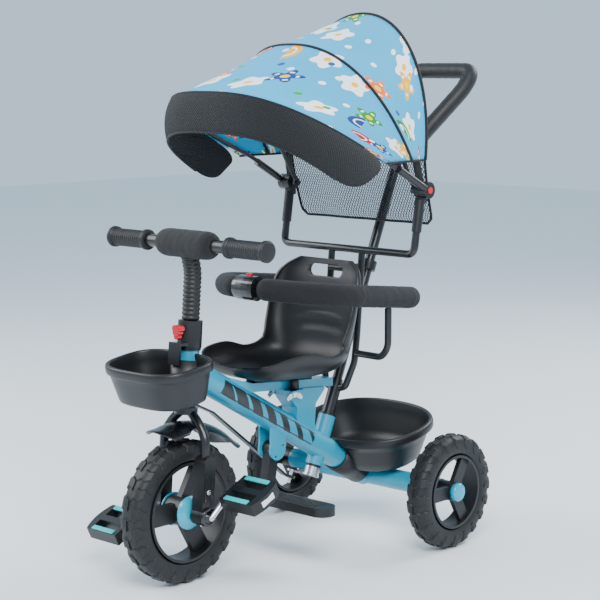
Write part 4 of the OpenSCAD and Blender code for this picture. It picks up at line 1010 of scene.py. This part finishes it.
rows = [[over_hoops(pi * (1 - k / 96), s / 20) for k in range(97)] for s in range(41)]
canopy_skin = skin("canopy_sheet", rows, loop=False)
cloth = piece(canopy_skin, print_cloth, None, ["canopy_cloth"])
cloth_thickness = cloth.modifiers.new("cloth", "SOLIDIFY")
cloth_thickness.thickness, cloth_thickness.offset = 0.0012, 0

tape = Finish("black_tape", (0.007, 0.007, 0.008), 0.7, sheen=0.08, specular=0.25).mottle(60, 0.3, 0.1)
u, v, _ = tape.split(tape.place("UV"))
warp, weft = tape.math("PINGPONG", u, 0.0008), tape.math("PINGPONG", v, 0.0008)
tape.grain(weft * 1000 + warp * 700, 0.6, 0.0004)


def bind(name, line, radius, across, body):
    """A round tape along an edge."""
    return piece(skin(name, swept(line, lambda gone, total, a: radius, across, 12)), tape, body)


hems = []
for word, s, radius in (("middle", 1, 0.0034), ("rear", 2, 0.0036)):
    line = [over_hoops(pi * (1 - k / 96), s) for k in range(97)]
    hems.append(bind("canopy_tape_" + word, line, radius, (0, -0.4, 0.9), None))
for side, word in ((0, "left"), (1, "right")):
    line = [over_hoops(pi * side, s / 20) for s in range(41)]
    hems.append(bind("canopy_hem_" + word, line, 0.0021, (1, 0, 0), None))
FOLD_START, FOLD_END = at(0, 439, 713), at(0, 439 - 92, 713 - 44.5)
for soft in [cloth, *hems]:
    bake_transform(soft)

spacer = Finish("spacer_mesh", (0.010, 0.010, 0.011), 0.78, sheen=0.06, specular=0.2)
spacer.mottle(25, 0.2, 0.1)
spacer.grain(spacer.noise(14, 2), 0.3, 0.004)
# The last two colours are the painted shade in the mesh's hollows and the painted highlight on its raised
# cells.
weave(spacer, 0.0026, 380, (0.9, 0.0014), (0.003, 0.003, 0.0035), (0.020, 0.021, 0.023))
UPPER = (181.5, 2.8, (327, 53), (65, 177))
LOWER = (171, 2.9, (248, 6), (62, 110))
rows = []
for k in range(145):
    t = pi * (1 - cos(pi * k / 144)) / 2
    high, low = hoop(*UPPER, t), hoop(*LOWER, t)
    pull = min(1, sin(t) ** 0.71 / 0.2)
    close = sqrt(max(0.0, 1 - (1 - pull) ** 2))
    middle = high.lerp(low, 0.5)
    out = (middle - at(0, 290, 700)).normalized()
    ring = []
    for j in range(24):
        a = 2 * pi * j / 24
        along_strip = 0.5 - 0.5 * cos(a) * (0.4 + 0.6 * close)
        thick = 0.0055 * sin(a) * (0.3 + 0.7 * close)
        bulge = 0.004 * sin(pi * along_strip)
        ring.append(high.lerp(low, along_strip) + out * (thick + bulge))
    rows.append(ring)
brim = piece(skin("canopy_brim", rows), spacer, "canopy_front", ["canopy_visor"])
for word, edge_of, s in (("top", UPPER, 0), ("bottom", LOWER, 1)):
    line = [hoop(*edge_of, pi * k / 120) for k in range(5, 116)]
    bind("brim_tape_" + word, line, 0.0022, (0, -0.4, 0.9), "canopy_front")

open_mesh = Finish("open_mesh", (0.014, 0.014, 0.016), 0.6, specular=0.3)
u, v, _ = open_mesh.split(open_mesh.place("UV"))
first = open_mesh.math("PINGPONG", u + v * 0.6, 0.0029)
second = open_mesh.math("PINGPONG", u - v * 0.6, 0.0029)
hole = (first > 0.0009) * (second > 0.0009)
open_mesh.put("Alpha", 1 - hole)
open_mesh.put("Roughness", 0.55 + open_mesh.noise(200) * 0.15)
open_mesh.grain(first * 300 + second * 300, 0.6, 0.0006)


def curtain_row(height):
    """The curtain's half width and its y at a height in millimetres above the hinge."""
    if height <= 54:
        share = (height + 64) / 118
        return 160 + 4 * share, 482 - 32 * share - 3 * sin(pi * share)
    share = (height - 54) / 258
    return 164 * sqrt(max(0.002, 1 - share * share)), 450 + 22 * share


rows = []
for k in range(61):
    height = -64 + 373 * (k / 60) ** 0.9
    half, y = curtain_row(height)
    corner = 12 * max(0, 1 - (height + 64) / 14) ** 2
    row = []
    for j in range(41):
        u = j / 20 - 1
        wave = 2.2 * cos(u * 9) * max(0, 1 - (height + 64) / 120)
        row.append(at((half - corner) * u, y + 1 + wave, HINGE + height))
    rows.append(row)
net = skin("rear_mesh", rows, loop=False)
curtain = piece(net, open_mesh, "root", ["rear_curtain"])
line = [row[0] for row in rows[::-1]] + rows[0][1:-1] + [row[-1] for row in rows]
trim = bind("rear_mesh_tape", line, 0.0024, (0, 1, 0.02), "root")
